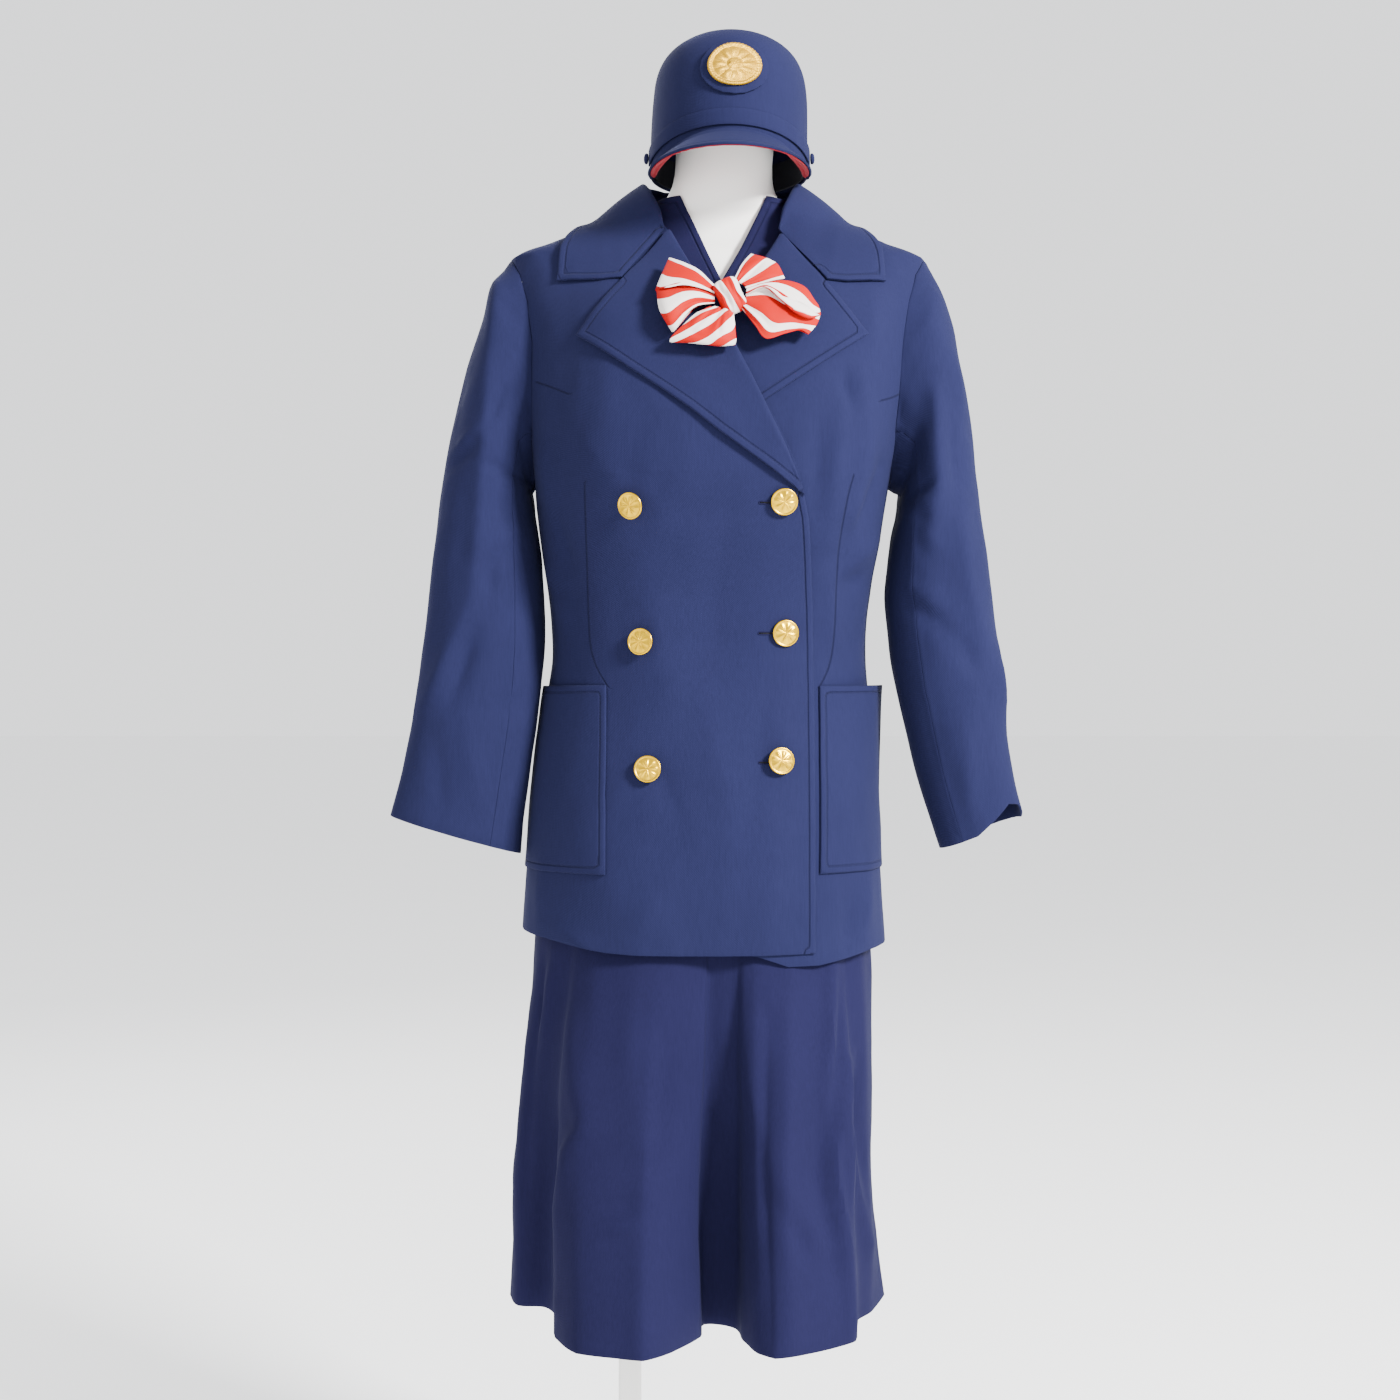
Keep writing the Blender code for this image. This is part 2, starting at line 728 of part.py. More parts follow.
# The sleeves, ring by ring from the shoulder to the cuff: the ring's outer and inner point seen
# from the front, half its depth and how far forward it hangs
SLEEVE_COLUMNS = ("outer_x", "outer_z", "inner_x", "inner_z", "half_depth", "forward")
RIGHT_SLEEVE = table(
    SLEEVE_COLUMNS,
    [
        (-198, 1307, -162, 1102, 60, 0),
        (-209, 1270, -161, 1097, 62, 0),
        (-222, 1230, -160, 1090, 64, 1),
        (-232, 1192, -159, 1081, 64, 3),
        (-240, 1151, -157, 1068, 62, 6),
        (-248, 1098, -153, 1040, 58, 10),
        (-255, 1040, -149, 1001, 54, 14),
        (-261, 972, -147, 952, 50, 19),
        (-269, 905, -149, 898, 45, 24),
        (-281, 848, -158, 833, 38, 29),
        (-293, 796, -168, 760, 31, 33),
    ],
)
LEFT_SLEEVE = table(
    SLEEVE_COLUMNS,
    [
        (226, 1308, 193, 1100, 60, 0),
        (241, 1271, 191, 1093, 62, 0),
        (249, 1231, 189, 1085, 64, 1),
        (256, 1192, 187, 1075, 64, 3),
        (260, 1151, 183, 1060, 62, 6),
        (267, 1098, 179, 1036, 58, 10),
        (276, 1040, 176, 1002, 54, 14),
        (280, 975, 180, 962, 50, 19),
        (287, 914, 188, 910, 45, 24),
        (295, 852, 206, 833, 38, 29),
        (306, 795, 227, 765, 31, 33),
    ],
)
SLEEVE_SEAM_ROW = 3
CUFF_LIFT = 20.0
POCKET_ROOM = 6.5


class Sleeve:
    """A sleeve's surface; turn 0 is at the underarm, a quarter at the front, a half on top."""

    def __init__(self, rings, side, crushed):
        places = np.arange(1, len(rings["outer_x"]) + 1)
        self.curve = {name: smooth_curve(places, column) for name, column in rings.items()}
        self.side, self.crushed, self.last = side, crushed, len(places)

    def armhole_edge(self, turn):
        """The armhole's edge on the jacket, moved a seam's width into the hole and out."""
        height = ARMHOLE_MIDDLE - ARMHOLE_HALF * math.cos(turn)
        back = math.sin(turn) < 0
        depth = (ARMHOLE_BACKWARD if back else ARMHOLE_FORWARD) * -math.sin(turn)
        height = min(max(height, ARMPIT + 0.01), SHOULDER_TIP - 0.01)
        edge = JACKET.at(JACKET.depth_angle(depth, height, self.side), height)
        inward = unit(np.array((0.0, -edge[1], ARMHOLE_MIDDLE - height)))
        top = max(-math.cos(turn), 0.0) ** 4
        return edge + inward * 0.4 + np.array((self.side * (0.4 + 0.8 * top), 0, 0))

    def ring(self, place, turn):
        v = {name: curve(place) for name, curve in self.curve.items()}
        c, s = math.cos(turn), math.sin(turn)
        c, s = math.copysign(abs(c) ** 0.92, c), math.copysign(abs(s) ** 0.92, s)
        x = (v["outer_x"] + v["inner_x"]) / 2 + (v["inner_x"] - v["outer_x"]) / 2 * c
        z = (v["outer_z"] + v["inner_z"]) / 2 + (v["inner_z"] - v["outer_z"]) / 2 * c
        if self.crushed:
            front = max(1 - abs(turn - math.radians(128)) / math.radians(52), 0.0)
            z += CUFF_LIFT * ease(front) * ease((place - self.last + 1.2) / 1.2)
        point = np.array((x, -v["forward"] - v["half_depth"] * s, z))
        return JACKET.push_out(point, 1.4 + POCKET_ROOM * (1 - ease((z - POCKET_TOP - 8) / 30)))

    def at(self, place, turn):
        if place >= 1:
            return self.ring(place, turn)
        return mix(self.armhole_edge(turn), self.ring(1, turn), place)

    def normal(self, place, turn):
        around = self.at(place, turn + 0.03) - self.at(place, turn - 0.03)
        low, high = max(place - 0.04, 0.0), min(place + 0.04, self.last)
        return unit(np.cross(around, self.at(high, turn) - self.at(low, turn))) * -self.side


def sleeve(name, rings, side, crushed=False):
    """A two-piece sleeve: the top piece and the narrower under piece, seamed front and back."""
    surface = Sleeve(rings, side, crushed)
    heights = [h for h in BODY_HEIGHTS if ARMPIT <= h <= SHOULDER_TIP]
    turns = [math.acos(min(max((ARMHOLE_MIDDLE - h) / ARMHOLE_HALF, -1), 1)) for h in heights]
    turns[0] = 0.0
    places = [0, 0.5, 1, 2, 3, 4, 5, 6, 7, 8, 9, 10, 11]
    half_seam = math.radians(0.18)
    seam = turns[SLEEVE_SEAM_ROW]
    top = [seam + half_seam] + turns[SLEEVE_SEAM_ROW + 1 :]
    top += [2 * math.pi - t for t in reversed(top[:-1])]
    under = [-seam + half_seam] + [-t for t in reversed(turns[1:SLEEVE_SEAM_ROW])]
    under += [0.0] + turns[1:SLEEVE_SEAM_ROW] + [seam - half_seam]
    for piece, columns in (("top", top), ("under", under)):
        outer, inner = [], []
        for place in reversed(places):
            ring = [surface.at(place, t) for t in columns]
            cloth = [p - surface.normal(place, t) * JACKET_CLOTH for p, t in zip(ring, columns)]
            outer.append(ring if side < 0 else ring[::-1])
            inner.append(cloth if side < 0 else cloth[::-1])
        # seen from the front, the turns run to the viewer's left on the wearer's right sleeve
        outer, inner = np.array(outer)[:, ::-1], np.array(inner)[:, ::-1]
        wall(f"{name}_{piece}", [(outer, inner)], "navy_suiting")


# The dress
BODICE_PIT, BODICE_TIP = 1098.0, 1336.0
WAIST_SEAM = 953.0
NECK_FOOT = 1294.0
BODICE_HEIGHTS = [
    953.3, 1030, 1098, 1150, 1205, 1250, 1294, 1315, 1331, BODICE_TIP, 1343, 1356, 1368, 1376, 1382,
]
BODICE_SHARES = (0.0, 0.05, 0.16, 0.38, 0.68, 1.0)
NECKLINE = table(("height", "left_x", "right_x"), [(1294, 19.9, 20.1), (1340, 1, 43), (1382, -19, 63)])
neckline_left = smooth_curve(NECKLINE["height"], NECKLINE["left_x"])
neckline_right = smooth_curve(NECKLINE["height"], NECKLINE["right_x"])


def bodice_side(height, side, back=False):
    """Where a bodice panel starts: the side seam, the armhole's edge or the shoulder seam."""
    seam = SEAM / 2 / BODICE.section["half_width"](height)
    seam = -seam if back else seam
    if BODICE_PIT < height < BODICE_TIP:
        across = (2 * height - BODICE_PIT - BODICE_TIP) / (BODICE_TIP - BODICE_PIT)
        width = math.sqrt(1 - across * across)
        return BODICE.depth_angle((48 if back else -44) * width, height, side)
    return side * (math.pi / 2 - seam * (2.2 if height >= BODICE_TIP else 1))


def bodice_front():
    """The front of the bodice, with its V neck between two straps."""
    halves = []
    for side, neck in ((-1, neckline_left), (1, neckline_right)):
        outer, inner = [], []
        for height in BODICE_HEIGHTS:
            start = bodice_side(height, side)
            middle = mix(8.0, 20.0, (height - WAIST_SEAM) / (NECK_FOOT - WAIST_SEAM))
            end = BODICE.front_angle(neck(height) if height > NECK_FOOT else middle, height)
            angles = [mix(start, end, share) for share in BODICE_SHARES]
            angles = angles if side < 0 else angles[::-1]
            outer.append([BODICE.at(a, height) for a in angles])
            inner.append([BODICE.at(a, height, -DRESS_CLOTH) for a in angles])
        halves.append((outer, inner))
    wall("bodice_front", halves, "navy_dress")


def bodice_back():
    outer, inner = [], []
    for height in BODICE_HEIGHTS:
        start = bodice_side(height, 1, back=True)
        end = 2 * math.pi + bodice_side(height, -1, back=True)
        shares = [share / 2 for share in BODICE_SHARES]
        shares += [1 - share for share in reversed(shares[:-1])]
        angles = [mix(start, end, share) for share in shares]
        outer.append([BODICE.at(a, height) for a in angles])
        inner.append([BODICE.at(a, height, -DRESS_CLOTH) for a in angles])
    wall("bodice_back", [(outer, inner)], "navy_dress")


# The skirt's front hem seen from above: x, and how far forward. The step near the middle is the
# edge of the inverted pleat, and the other turns are the folds the cloth falls into.
HEM_OUTLINE = table(
    ("x", "forward"),
    [
        (-184, 0), (-173, 33), (-147, 38), (-137, 56), (-130, 121), (-109, 162), (-66, 177),
        (-49, 181), (-25, 160), (0, 119), (3.5, 86), (20, 86), (34, 97), (40, 131), (50, 163),
        (65, 177), (87, 169), (116, 151), (140, 131), (146, 75), (162, 47), (177, 6),
    ],
)
SKIRT_HEIGHTS = [DRESS_HEM, 385, 445, 510, 575, 625, 665, 705, 750, 800, 860, 910, 952.7]
FOLDS_START = 705.0
BACK_FOLDS = 5
BACK_FOLD_DEPTH = 9.0

SKIRT = Torso(
    [
        (331, 181, 125, 138, -3),
        (384, 177, 124, 136, -5),
        (442, 173, 122, 134, -7),
        (519, 170, 121, 133, -3),
        (577, 166.5, 119, 132, 0),
        (655, 162.5, 117, 131, 2),
        (700, 161, 115, 131, 3),
        (760, 160.5, 113, 130, 3),
        (820, 153, 109, 121, 4),
        (880, 141, 104, 108, 6),
        (953, 131.5, 97.5, 95.5, 8),
    ],
    power=2.3,
)


def skirt_wall(outer, first_side):
    """Outer and inner face of a skirt panel, its side seams square to the body."""
    outer = np.array(outer)
    out = grid_normals(outer)
    for column, side in ((0, first_side), (-1, -first_side)):
        out[:, column] = [SKIRT.normal(side * math.pi / 2, height) for height in SKIRT_HEIGHTS]
    return outer, outer - out * DRESS_CLOTH


def skirt_front():
    """The front of the skirt, from the waist seam into the pleat and folds of the hem."""
    count = len(HEM_OUTLINE["x"])
    outer = []
    for height in SKIRT_HEIGHTS:
        line = []
        fall = max(FOLDS_START - height, 0.0) / (FOLDS_START - DRESS_HEM)
        half = SKIRT.section["half_width"](height)
        for i in range(count):
            x_hem, forward = HEM_OUTLINE["x"][i], HEM_OUTLINE["forward"][i]
            if i in (0, count - 1):
                side = -1 if i == 0 else 1
                line.append(SKIRT.at(side * (math.pi / 2 - SEAM / 2 / half), height))
                continue
            x_body = SKIRT.section["centre_x"](height) + (x_hem + 3) / 181 * half
            body = SKIRT.at(SKIRT.front_angle(x_body, height), height)
            line.append(mix(body, np.array((x_hem, -forward, height)), fall))
        outer.append(line)
    wall("skirt_front", [skirt_wall(outer, -1)], "navy_dress")


def skirt_back():
    """The back of the skirt, with soft folds that grow towards the hem."""
    spans = 16
    outer = []
    for height in SKIRT_HEIGHTS:
        line = []
        fall = max(FOLDS_START - height, 0.0) / (FOLDS_START - DRESS_HEM)
        seam = SEAM / 2 / SKIRT.section["half_width"](height)
        for i in range(spans + 1):
            share = i / spans
            angle = mix(math.pi / 2 + seam, 1.5 * math.pi - seam, share)
            fold = math.sin(share * math.pi) * math.cos(share * 2 * math.pi * BACK_FOLDS / 2 * 1.6)
            line.append(SKIRT.at(angle, height, BACK_FOLD_DEPTH * fall * fold))
        outer.append(line)
    wall("skirt_back", [skirt_wall(outer, 1)], "navy_dress")


# The cap, turned about the top of the form's neck
CROWN = Torso(
    [
        (1400, 76, 97, 95, 28),
        (1440, 75.5, 96.5, 95, 28),
        (1463, 75, 95, 94, 28.5),
        (1482, 74, 93, 93, 29),
        (1500, 71.5, 89, 91, 29),
        (1512, 67, 83, 85, 29),
        (1521, 60.5, 75, 77, 29),
        (1530, 49, 61, 63, 29),
        (1537, 34, 42, 44, 29),
        (1541, 17, 21, 22, 29),
        (1542, 0.02, 0.02, 0.02, 29),
    ],
    power=2.0,
)
CAP_COLUMNS = 24
CAP_STEP = 2 * math.pi / CAP_COLUMNS
CROWN_HEIGHTS = [None, 1445, 1463, 1482, 1500, 1512, 1521, 1530, 1537, 1541, 1542]
VISOR_HALF_ANGLE = 5 * CAP_STEP
VISOR_CLOTH = 2.0
VISOR_EDGE = 1401.5
VISOR_ARCH = 2.5
SWEATBAND_ROWS = (2.0, 16.0, 30.0)
STRAP_MIDDLE, STRAP_DROP, STRAP_HALF_WIDTH = 1438.0, 14.0, 7.5
CAP_BUTTON_HEIGHT = 1423.5


def cap_edge(angle):
    """Height of the crown's lower edge, highest at the middle of the front."""
    a = abs(math.remainder(angle, 2 * math.pi))
    if a < VISOR_HALF_ANGLE:
        return 1409 + 18 * math.cos(a / VISOR_HALF_ANGLE * math.pi / 2) ** 2
    return 1409 + 4 * ease((a - VISOR_HALF_ANGLE) / (math.pi - VISOR_HALF_ANGLE))


def crown_grid(heights, out, angles=None):
    """Points of the crown at given heights, None meaning its lower edge."""
    angles = angles or [-math.pi + i * CAP_STEP for i in range(CAP_COLUMNS + 1)]
    rows = []
    for height in heights:
        row = []
        for angle in angles:
            z = cap_edge(angle) if height is None else height
            if height == CROWN_HEIGHTS[-1]:
                row.append(np.array((29.0, 0.0, height + out)))
            else:
                row.append(CROWN.at(angle, z, out))
        rows.append(row)
    rows = np.array(rows)
    if len(angles) == CAP_COLUMNS + 1:
        rows[:, -1] = rows[:, 0]
    return rows


def visor_grid(inset):
    """The visor's upper face, from its edge back to the crown."""
    count = int(round(4 * VISOR_HALF_ANGLE / CAP_STEP))
    rows = []
    for back in (0.0, 0.34, 0.67, 1.0):
        row = []
        for i in range(count + 1):
            angle = mix(-VISOR_HALF_ANGLE, VISOR_HALF_ANGLE, i / count)
            root = CROWN.at(angle, cap_edge(angle) - 0.4, -1.2)
            reach = 5.0 + 34.0 * math.cos(angle / VISOR_HALF_ANGLE * math.pi / 2) ** 0.8
            edge = root + np.array((math.sin(angle) * 0.55, -math.cos(angle) - 0.15, 0.0)) * reach
            edge[2] = VISOR_EDGE
            point = mix(edge, root, mix(inset / reach, 1.0, back))
            row.append(point + np.array((0, 0, VISOR_ARCH * back * (1 - back))))
        rows.append(row)
    return np.array(rows)


def cap():
    crown = crown_grid(CROWN_HEIGHTS, 0), crown_grid(CROWN_HEIGHTS, -CAP_CLOTH)
    wall("cap_crown", [crown], "navy_suiting")

    band = [-math.pi + i * CAP_STEP for i in range(CAP_COLUMNS + 1)]
    outer, inner = [], []
    for raised in SWEATBAND_ROWS:
        for rows, depth in ((outer, CAP_CLOTH + 0.5), (inner, CAP_CLOTH + 2.0)):
            rows.append([CROWN.at(a, cap_edge(a) + raised, -depth) for a in band])
            rows[-1][-1] = rows[-1][0]
    wall("cap_sweatband", [(outer, inner)], "black_band")

    for name, slot, below, thick, inset in (
        ("cap_visor", "navy_suiting", 0.0, VISOR_CLOTH, 0.0),
        ("cap_visor_lining", "red_lining", VISOR_CLOTH + 0.6, 0.9, 1.5),
    ):
        top = visor_grid(inset)
        down = grid_normals(top)
        down = down * -np.sign(down[..., 2:3])
        wall(name, [(top + down * below, top + down * (below + thick))], slot)

    angles = [-VISOR_HALF_ANGLE - CAP_STEP / 2 + i * CAP_STEP / 2 for i in range(23)]
    outer, inner = [], []
    for across in (-STRAP_HALF_WIDTH, STRAP_HALF_WIDTH):
        heights = [STRAP_MIDDLE - STRAP_DROP * math.sin(a) ** 2 + across for a in angles]
        for rows, out in ((outer, 2.2), (inner, 0.5)):
            rows.append([CROWN.at(a, height, out) for a, height in zip(angles, heights)])
    wall("cap_strap", [(outer, inner)], "navy_suiting")
    for name, side in (("cap_button_right", -1), ("cap_button_left", 1)):
        angle = side * (VISOR_HALF_ANGLE + 0.1)
        place = CROWN.at(angle, CAP_BUTTON_HEIGHT, 2.2 + SEAM)
        profile = [(4.6, 0.0), (5.2, 1.0), (4.8, 2.6), (3.0, 3.8), (1.2, 4.2)]
        axis = CROWN.normal(angle, CAP_BUTTON_HEIGHT)
        turned(name, profile, place, axis, "navy_suiting", 12)


# The patch and the badge on the front of the crown: x, z, half width and half height
PATCH_OVAL = (31.5, 1484.5, 30.5, 26.0)
BADGE_OVAL = (31.5, 1485.5, 23.5, 20.0)
PATCH_RINGS = (1.0, 0.66, 0.33, 0.0)
# The badge's rings from its edge to its middle, and how high its flutes stand and lie on each
BADGE_RINGS = table(
    ("radius", "ridge", "valley"),
    [(1.0, 1.4, 0.2), (0.72, 2.4, 1.4), (0.5, 2.8, 2.4), (0.42, 0.8, 0.8), (0.0, 3.4, 3.4)],
)
BADGE_SECTORS = 24


def disc_on(under, oval, radii, sectors, gap):
    """A round grid, from its edge in to its middle, cast from the front onto a piece."""
    x, z, half_width, half_height = oval
    rows = []
    for radius in radii:
        row = []
        for i in range(sectors + 1):
            a = -2 * math.pi * i / sectors
            across, up = half_width * radius * math.cos(a), half_height * radius * math.sin(a)
            start = Vector((x + across, IN_FRONT, z + up))
            place, normal = skins[under].ray_cast(start, Vector((0, 1, 0)))[:2]
            row.append(np.array(place + normal * gap))
        row[-1] = row[0]
        rows.append(row)
    return np.array(rows)


def rounded_out(grid):
    out = grid_normals(grid)
    out[-1] = unit(out[-2].mean(axis=0))
    return out * -np.sign(out[..., 1:2])


def cap_badge():
    """A plain oval patch, and on it a fluted gold rosette with a domed middle."""
    lower = disc_on("cap_crown", PATCH_OVAL, PATCH_RINGS, 20, 1.5)
    outer = lower + rounded_out(lower) * 2.0
    wall("cap_patch", [(outer, lower)], "navy_suiting")
    lower = disc_on("cap_patch", BADGE_OVAL, BADGE_RINGS["radius"], BADGE_SECTORS, 1.1)
    out = rounded_out(lower)
    outer = lower + out * 1.0
    for ring in range(len(BADGE_RINGS["radius"])):
        flutes = (BADGE_RINGS["ridge"][ring], BADGE_RINGS["valley"][ring])
        heights = np.array([flutes[i % 2] for i in range(BADGE_SECTORS + 1)])
        outer[ring] += out[ring] * heights[:, None]
    wall("cap_badge", [(outer, lower)], "gold_metal")


# Each button: where it sits, and how far it leans to the viewer's left
BUTTONS = (
    ("button_right_top", -55.5, 1081.0, 0.32),
    ("button_right_middle", -49.5, 958.0, 0.22),
    ("button_right_bottom", -46.0, 842.0, 0.1),
    ("button_left_top", 74.5, 1083.5, 0.06),
    ("button_left_middle", 76.5, 966.0, 0.0),
    ("button_left_bottom", 71.0, 849.5, -0.12),
)
BUTTON_RADIUS = 12.3
SHANK_RADIUS = 2.6


def buttons():
    for name, x, z, lean in BUTTONS:
        start = Vector((x, IN_FRONT, z))
        place, normal = skins["jacket_front_right"].ray_cast(start, Vector((0, 1, 0)))[:2]
        axis = (normal + Vector((-lean, 0, 0))).normalized()
        foot = SEAM + 0.1 + SHANK_RADIUS * abs(lean)
        back = foot + 1.2 + BUTTON_RADIUS * abs(lean)
        profile = [
            (SHANK_RADIUS, foot),
            (SHANK_RADIUS, back),
            (BUTTON_RADIUS, back + 0.3),
            (BUTTON_RADIUS, back + 1.5),
            (10.4, back + 2.2),
            (6.0, back + 2.7),
        ]
        turned(name, profile, place, axis, "gold_metal", 14)


# The bow: each piece is a ribbon, seen from the front as a row of edges from (ax, az) to
# (bx, bz), with its distance in front of the lapels
BOW_COLUMNS = ("ax", "az", "bx", "bz", "out")
BOW_PIECES = {
    "bow_loop_right": [
        (13.0, 1261, 13.0, 1277, 9), (-4, 1255, -3, 1294, 19), (-20, 1236, -27, 1309, 19),
        (-34, 1242, -38, 1288, 11), (-20, 1240, -26, 1302, 3.5), (-4, 1257, -3, 1288, 2.5),
        (12.6, 1264, 12.6, 1275, 4),
    ],
    "bow_loop_left": [
        (41.0, 1273, 40.8, 1259, 10.5), (61, 1281, 50, 1240, 18), (86, 1284, 62, 1227, 18),
        (107, 1264, 92, 1232, 10), (86, 1279, 64, 1233, 3.5), (61, 1277, 52, 1246, 2.5),
        (41.4, 1271, 41.4, 1261, 4),
    ],
    "bow_tail_right": [
        (31, 1253.6, 9, 1256.5, 6), (31, 1241, -6, 1244, 15), (33, 1226, -24, 1226, 15),
        (28, 1218, -20, 1221, 8), (27, 1232, -10, 1232, 2.5), (30, 1251.5, 10, 1253.5, 3),
    ],
    "bow_tail_left": [
        (30.5, 1282.4, 40.6, 1275.6, 13), (36, 1301, 65, 1285.5, 17), (47, 1313, 76, 1288, 13),
        (50, 1309, 72, 1292, 4.5), (34, 1287, 44, 1280, 7),
    ],
}
KNOT_X, KNOT_Z = 27.0, 1268.0
# The knot from the end of its stem to its front, as radius and distance in front of the lapels
KNOT_PROFILE = ((3.5, 1.0), (9.0, 2.5), (13.5, 6.0), (13.5, 12.0), (10.0, 17.5), (4.0, 19.5))
RIBBON_SHARES = (0.0, 0.25, 0.5, 0.75, 1.0)
RIBBON_SWELL = 3.0


def chest(x, z, out):
    """A point in front of the lapels."""
    layers = mix(12.6, 8.6, ease((x - 20) / 40))
    return JACKET.at(JACKET.front_angle(x, z), z) + np.array((0.0, -layers - out, 0.0))


def bow():
    """A knot on a short stem against the dress, with two loops and two folded tails around it."""
    seat = skins["bodice_front"].ray_cast(Vector((KNOT_X, IN_FRONT, KNOT_Z)), Vector((0, 1, 0)))[0]
    front = chest(KNOT_X, KNOT_Z, 0)[1]
    profile = [(KNOT_PROFILE[0][0], -seat[1] + SEAM + 1.5)]
    profile += [(radius, -front + out) for radius, out in KNOT_PROFILE]
    turned("bow_knot", profile, (KNOT_X, 0.0, KNOT_Z), (0, -1, 0), "striped_scarf", 14)
    for name, rows in BOW_PIECES.items():
        piece = table(BOW_COLUMNS, rows)
        stations = np.arange(len(rows))
        curves = {key: smooth_curve(stations, column) for key, column in piece.items()}
        outer = []
        for t in RIBBON_SHARES:
            line = []
            for station in np.linspace(0, len(rows) - 1, 2 * len(rows) - 1):
                v = {key: curve(station) for key, curve in curves.items()}
                along = math.sin(math.pi * station / (len(rows) - 1))
                swell = RIBBON_SWELL * (1 - (2 * t - 1) ** 2) * along
                front_half = station < (len(rows) - 1) / 2
                out = v["out"] + (swell if front_half else 0.0)
                line.append(chest(mix(v["ax"], v["bx"], t), mix(v["az"], v["bz"], t), out))
            outer.append(line)
        outer = np.array(outer)
        normals = grid_normals(outer)
        if normals[2, 2][1] > 0:
            outer, normals = outer[::-1], -normals[::-1]
        wall(name, [(outer, outer - normals * SCARF_CLOTH)], "striped_scarf")


def ring_of(body, height, sides):
    return [body.at(2 * math.pi * i / sides, height) for i in range(sides)]


FORM_HEIGHTS = (
    FORM_BOTTOM, 700, 760, 820, 880, 950, 1000, 1050, 1100, 1150, 1200, 1250, 1290, 1315, 1330,
    1342, 1354, 1366, 1375, 1385, 1402, 1440, 1500, 1518, 1529, 1535, 1538.7,
)


def form():
    """The dress form: a smooth limbless body and a tall neck with a domed end."""
    stack("form", [ring_of(FORM, h, 20) for h in FORM_HEIGHTS], "form_white", 60.0)


def stand():
    base_top = BASE_THICKNESS
    profile = [(BASE_RADIUS, 0.0), (BASE_RADIUS, base_top - 3), (BASE_RADIUS - 4, base_top)]
    turned("base", profile, (0, 0, 0), (0, 0, 1), "stand_white", 36)
    top = FORM_BOTTOM - SEAM
    pole = [(POLE_RADIUS, base_top + SEAM), (POLE_RADIUS, top)]
    turned("pole", pole, (POLE_X, 0, 0), (0, 0, 1), "stand_white", 20)
    outer, inner = [], []
    for height in (top - POLE_COLLAR_HEIGHT, top):
        for rows, radius in ((outer, POLE_RADIUS + POLE_COLLAR_WALL), (inner, POLE_RADIUS + 2 * SEAM)):
            turns = [2 * math.pi * i / 20 for i in range(21)]
            row = [np.array((POLE_X + radius * math.cos(t), radius * math.sin(t), height)) for t in turns]
            row[-1] = row[0]
            rows.append(row)
    wall("pole_collar", [(outer, inner)], "stand_white")


JACKET_BODY = ("jacket_front_right", "jacket_front_left", "jacket_back_right", "jacket_back_left")


def main():
    clear_scene()
    stand()
    form()
    bodice_front()
    bodice_back()
    skirt_front()
    skirt_back()
    left = jacket_front("jacket_front_left", 1, left_edge_x, left_dart_x)
    lapel(
        "lapel_left", 1, (76, 1339), (153, 1240), (-60, 1090), lambda x, z: 0.0,
        ("jacket_front_left",), start=0.2, puff_from=0.62,
    )
    right = jacket_front(
        "jacket_front_right", -1, right_edge_x, right_dart_x, ("jacket_front_left", "lapel_left")
    )
    lapel(
        "lapel_right", -1, (-29, 1343), (-110, 1236), (92, 1090), right_lift, ("jacket_front_right",)
    )
    jacket_back("jacket_back_right", -1)
    jacket_back("jacket_back_left", 1)
    patch_pocket("pocket_right", right, -1, 3.0)
    patch_pocket("pocket_left", left, 1, 13.0)
    collar_stand(collar_leaf())
    sleeve("sleeve_right", RIGHT_SLEEVE, -1)
    sleeve("sleeve_left", LEFT_SLEEVE, 1, crushed=True)
    buttons()
    cap()
    cap_badge()
    bow()


main()
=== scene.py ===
import json
import math

import bmesh
import bpy
import numpy as np
from mathutils import Matrix, Vector, noise
from mathutils.bvhtree import BVHTree


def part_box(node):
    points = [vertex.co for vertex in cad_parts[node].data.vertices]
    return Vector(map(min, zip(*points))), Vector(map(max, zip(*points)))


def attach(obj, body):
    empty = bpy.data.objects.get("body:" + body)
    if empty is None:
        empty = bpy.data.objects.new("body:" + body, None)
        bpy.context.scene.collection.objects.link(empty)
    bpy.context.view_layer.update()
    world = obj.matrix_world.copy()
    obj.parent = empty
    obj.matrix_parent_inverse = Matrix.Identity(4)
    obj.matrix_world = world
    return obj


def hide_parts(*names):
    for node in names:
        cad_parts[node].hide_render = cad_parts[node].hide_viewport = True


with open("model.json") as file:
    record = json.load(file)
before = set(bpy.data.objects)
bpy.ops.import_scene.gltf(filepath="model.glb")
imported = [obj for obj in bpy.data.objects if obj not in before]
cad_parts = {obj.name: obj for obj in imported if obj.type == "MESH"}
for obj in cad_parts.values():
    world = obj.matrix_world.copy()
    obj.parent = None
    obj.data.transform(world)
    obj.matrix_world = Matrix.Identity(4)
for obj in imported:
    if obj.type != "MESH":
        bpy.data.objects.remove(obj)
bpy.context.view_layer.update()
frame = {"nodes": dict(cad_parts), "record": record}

# Lengths are in metres, and settings that a tailor would give in millimetres are times mm.
# X runs to the viewer's right, the garment faces -Y, and _left and _right are the wearer's.
mm = 0.001
front, upright = Vector((0, -1, 0)), Vector((0, 0, 1))
finished = {}   # each finished piece's surface, for later pieces to lie on


# Small helpers

def report(stage):
    print("stage:", stage, flush=True)


def ease(t):
    t = min(max(t, 0.0), 1.0)
    return t * t * (3 - 2 * t)


def mix(a, b, t):
    return a + (b - a) * t


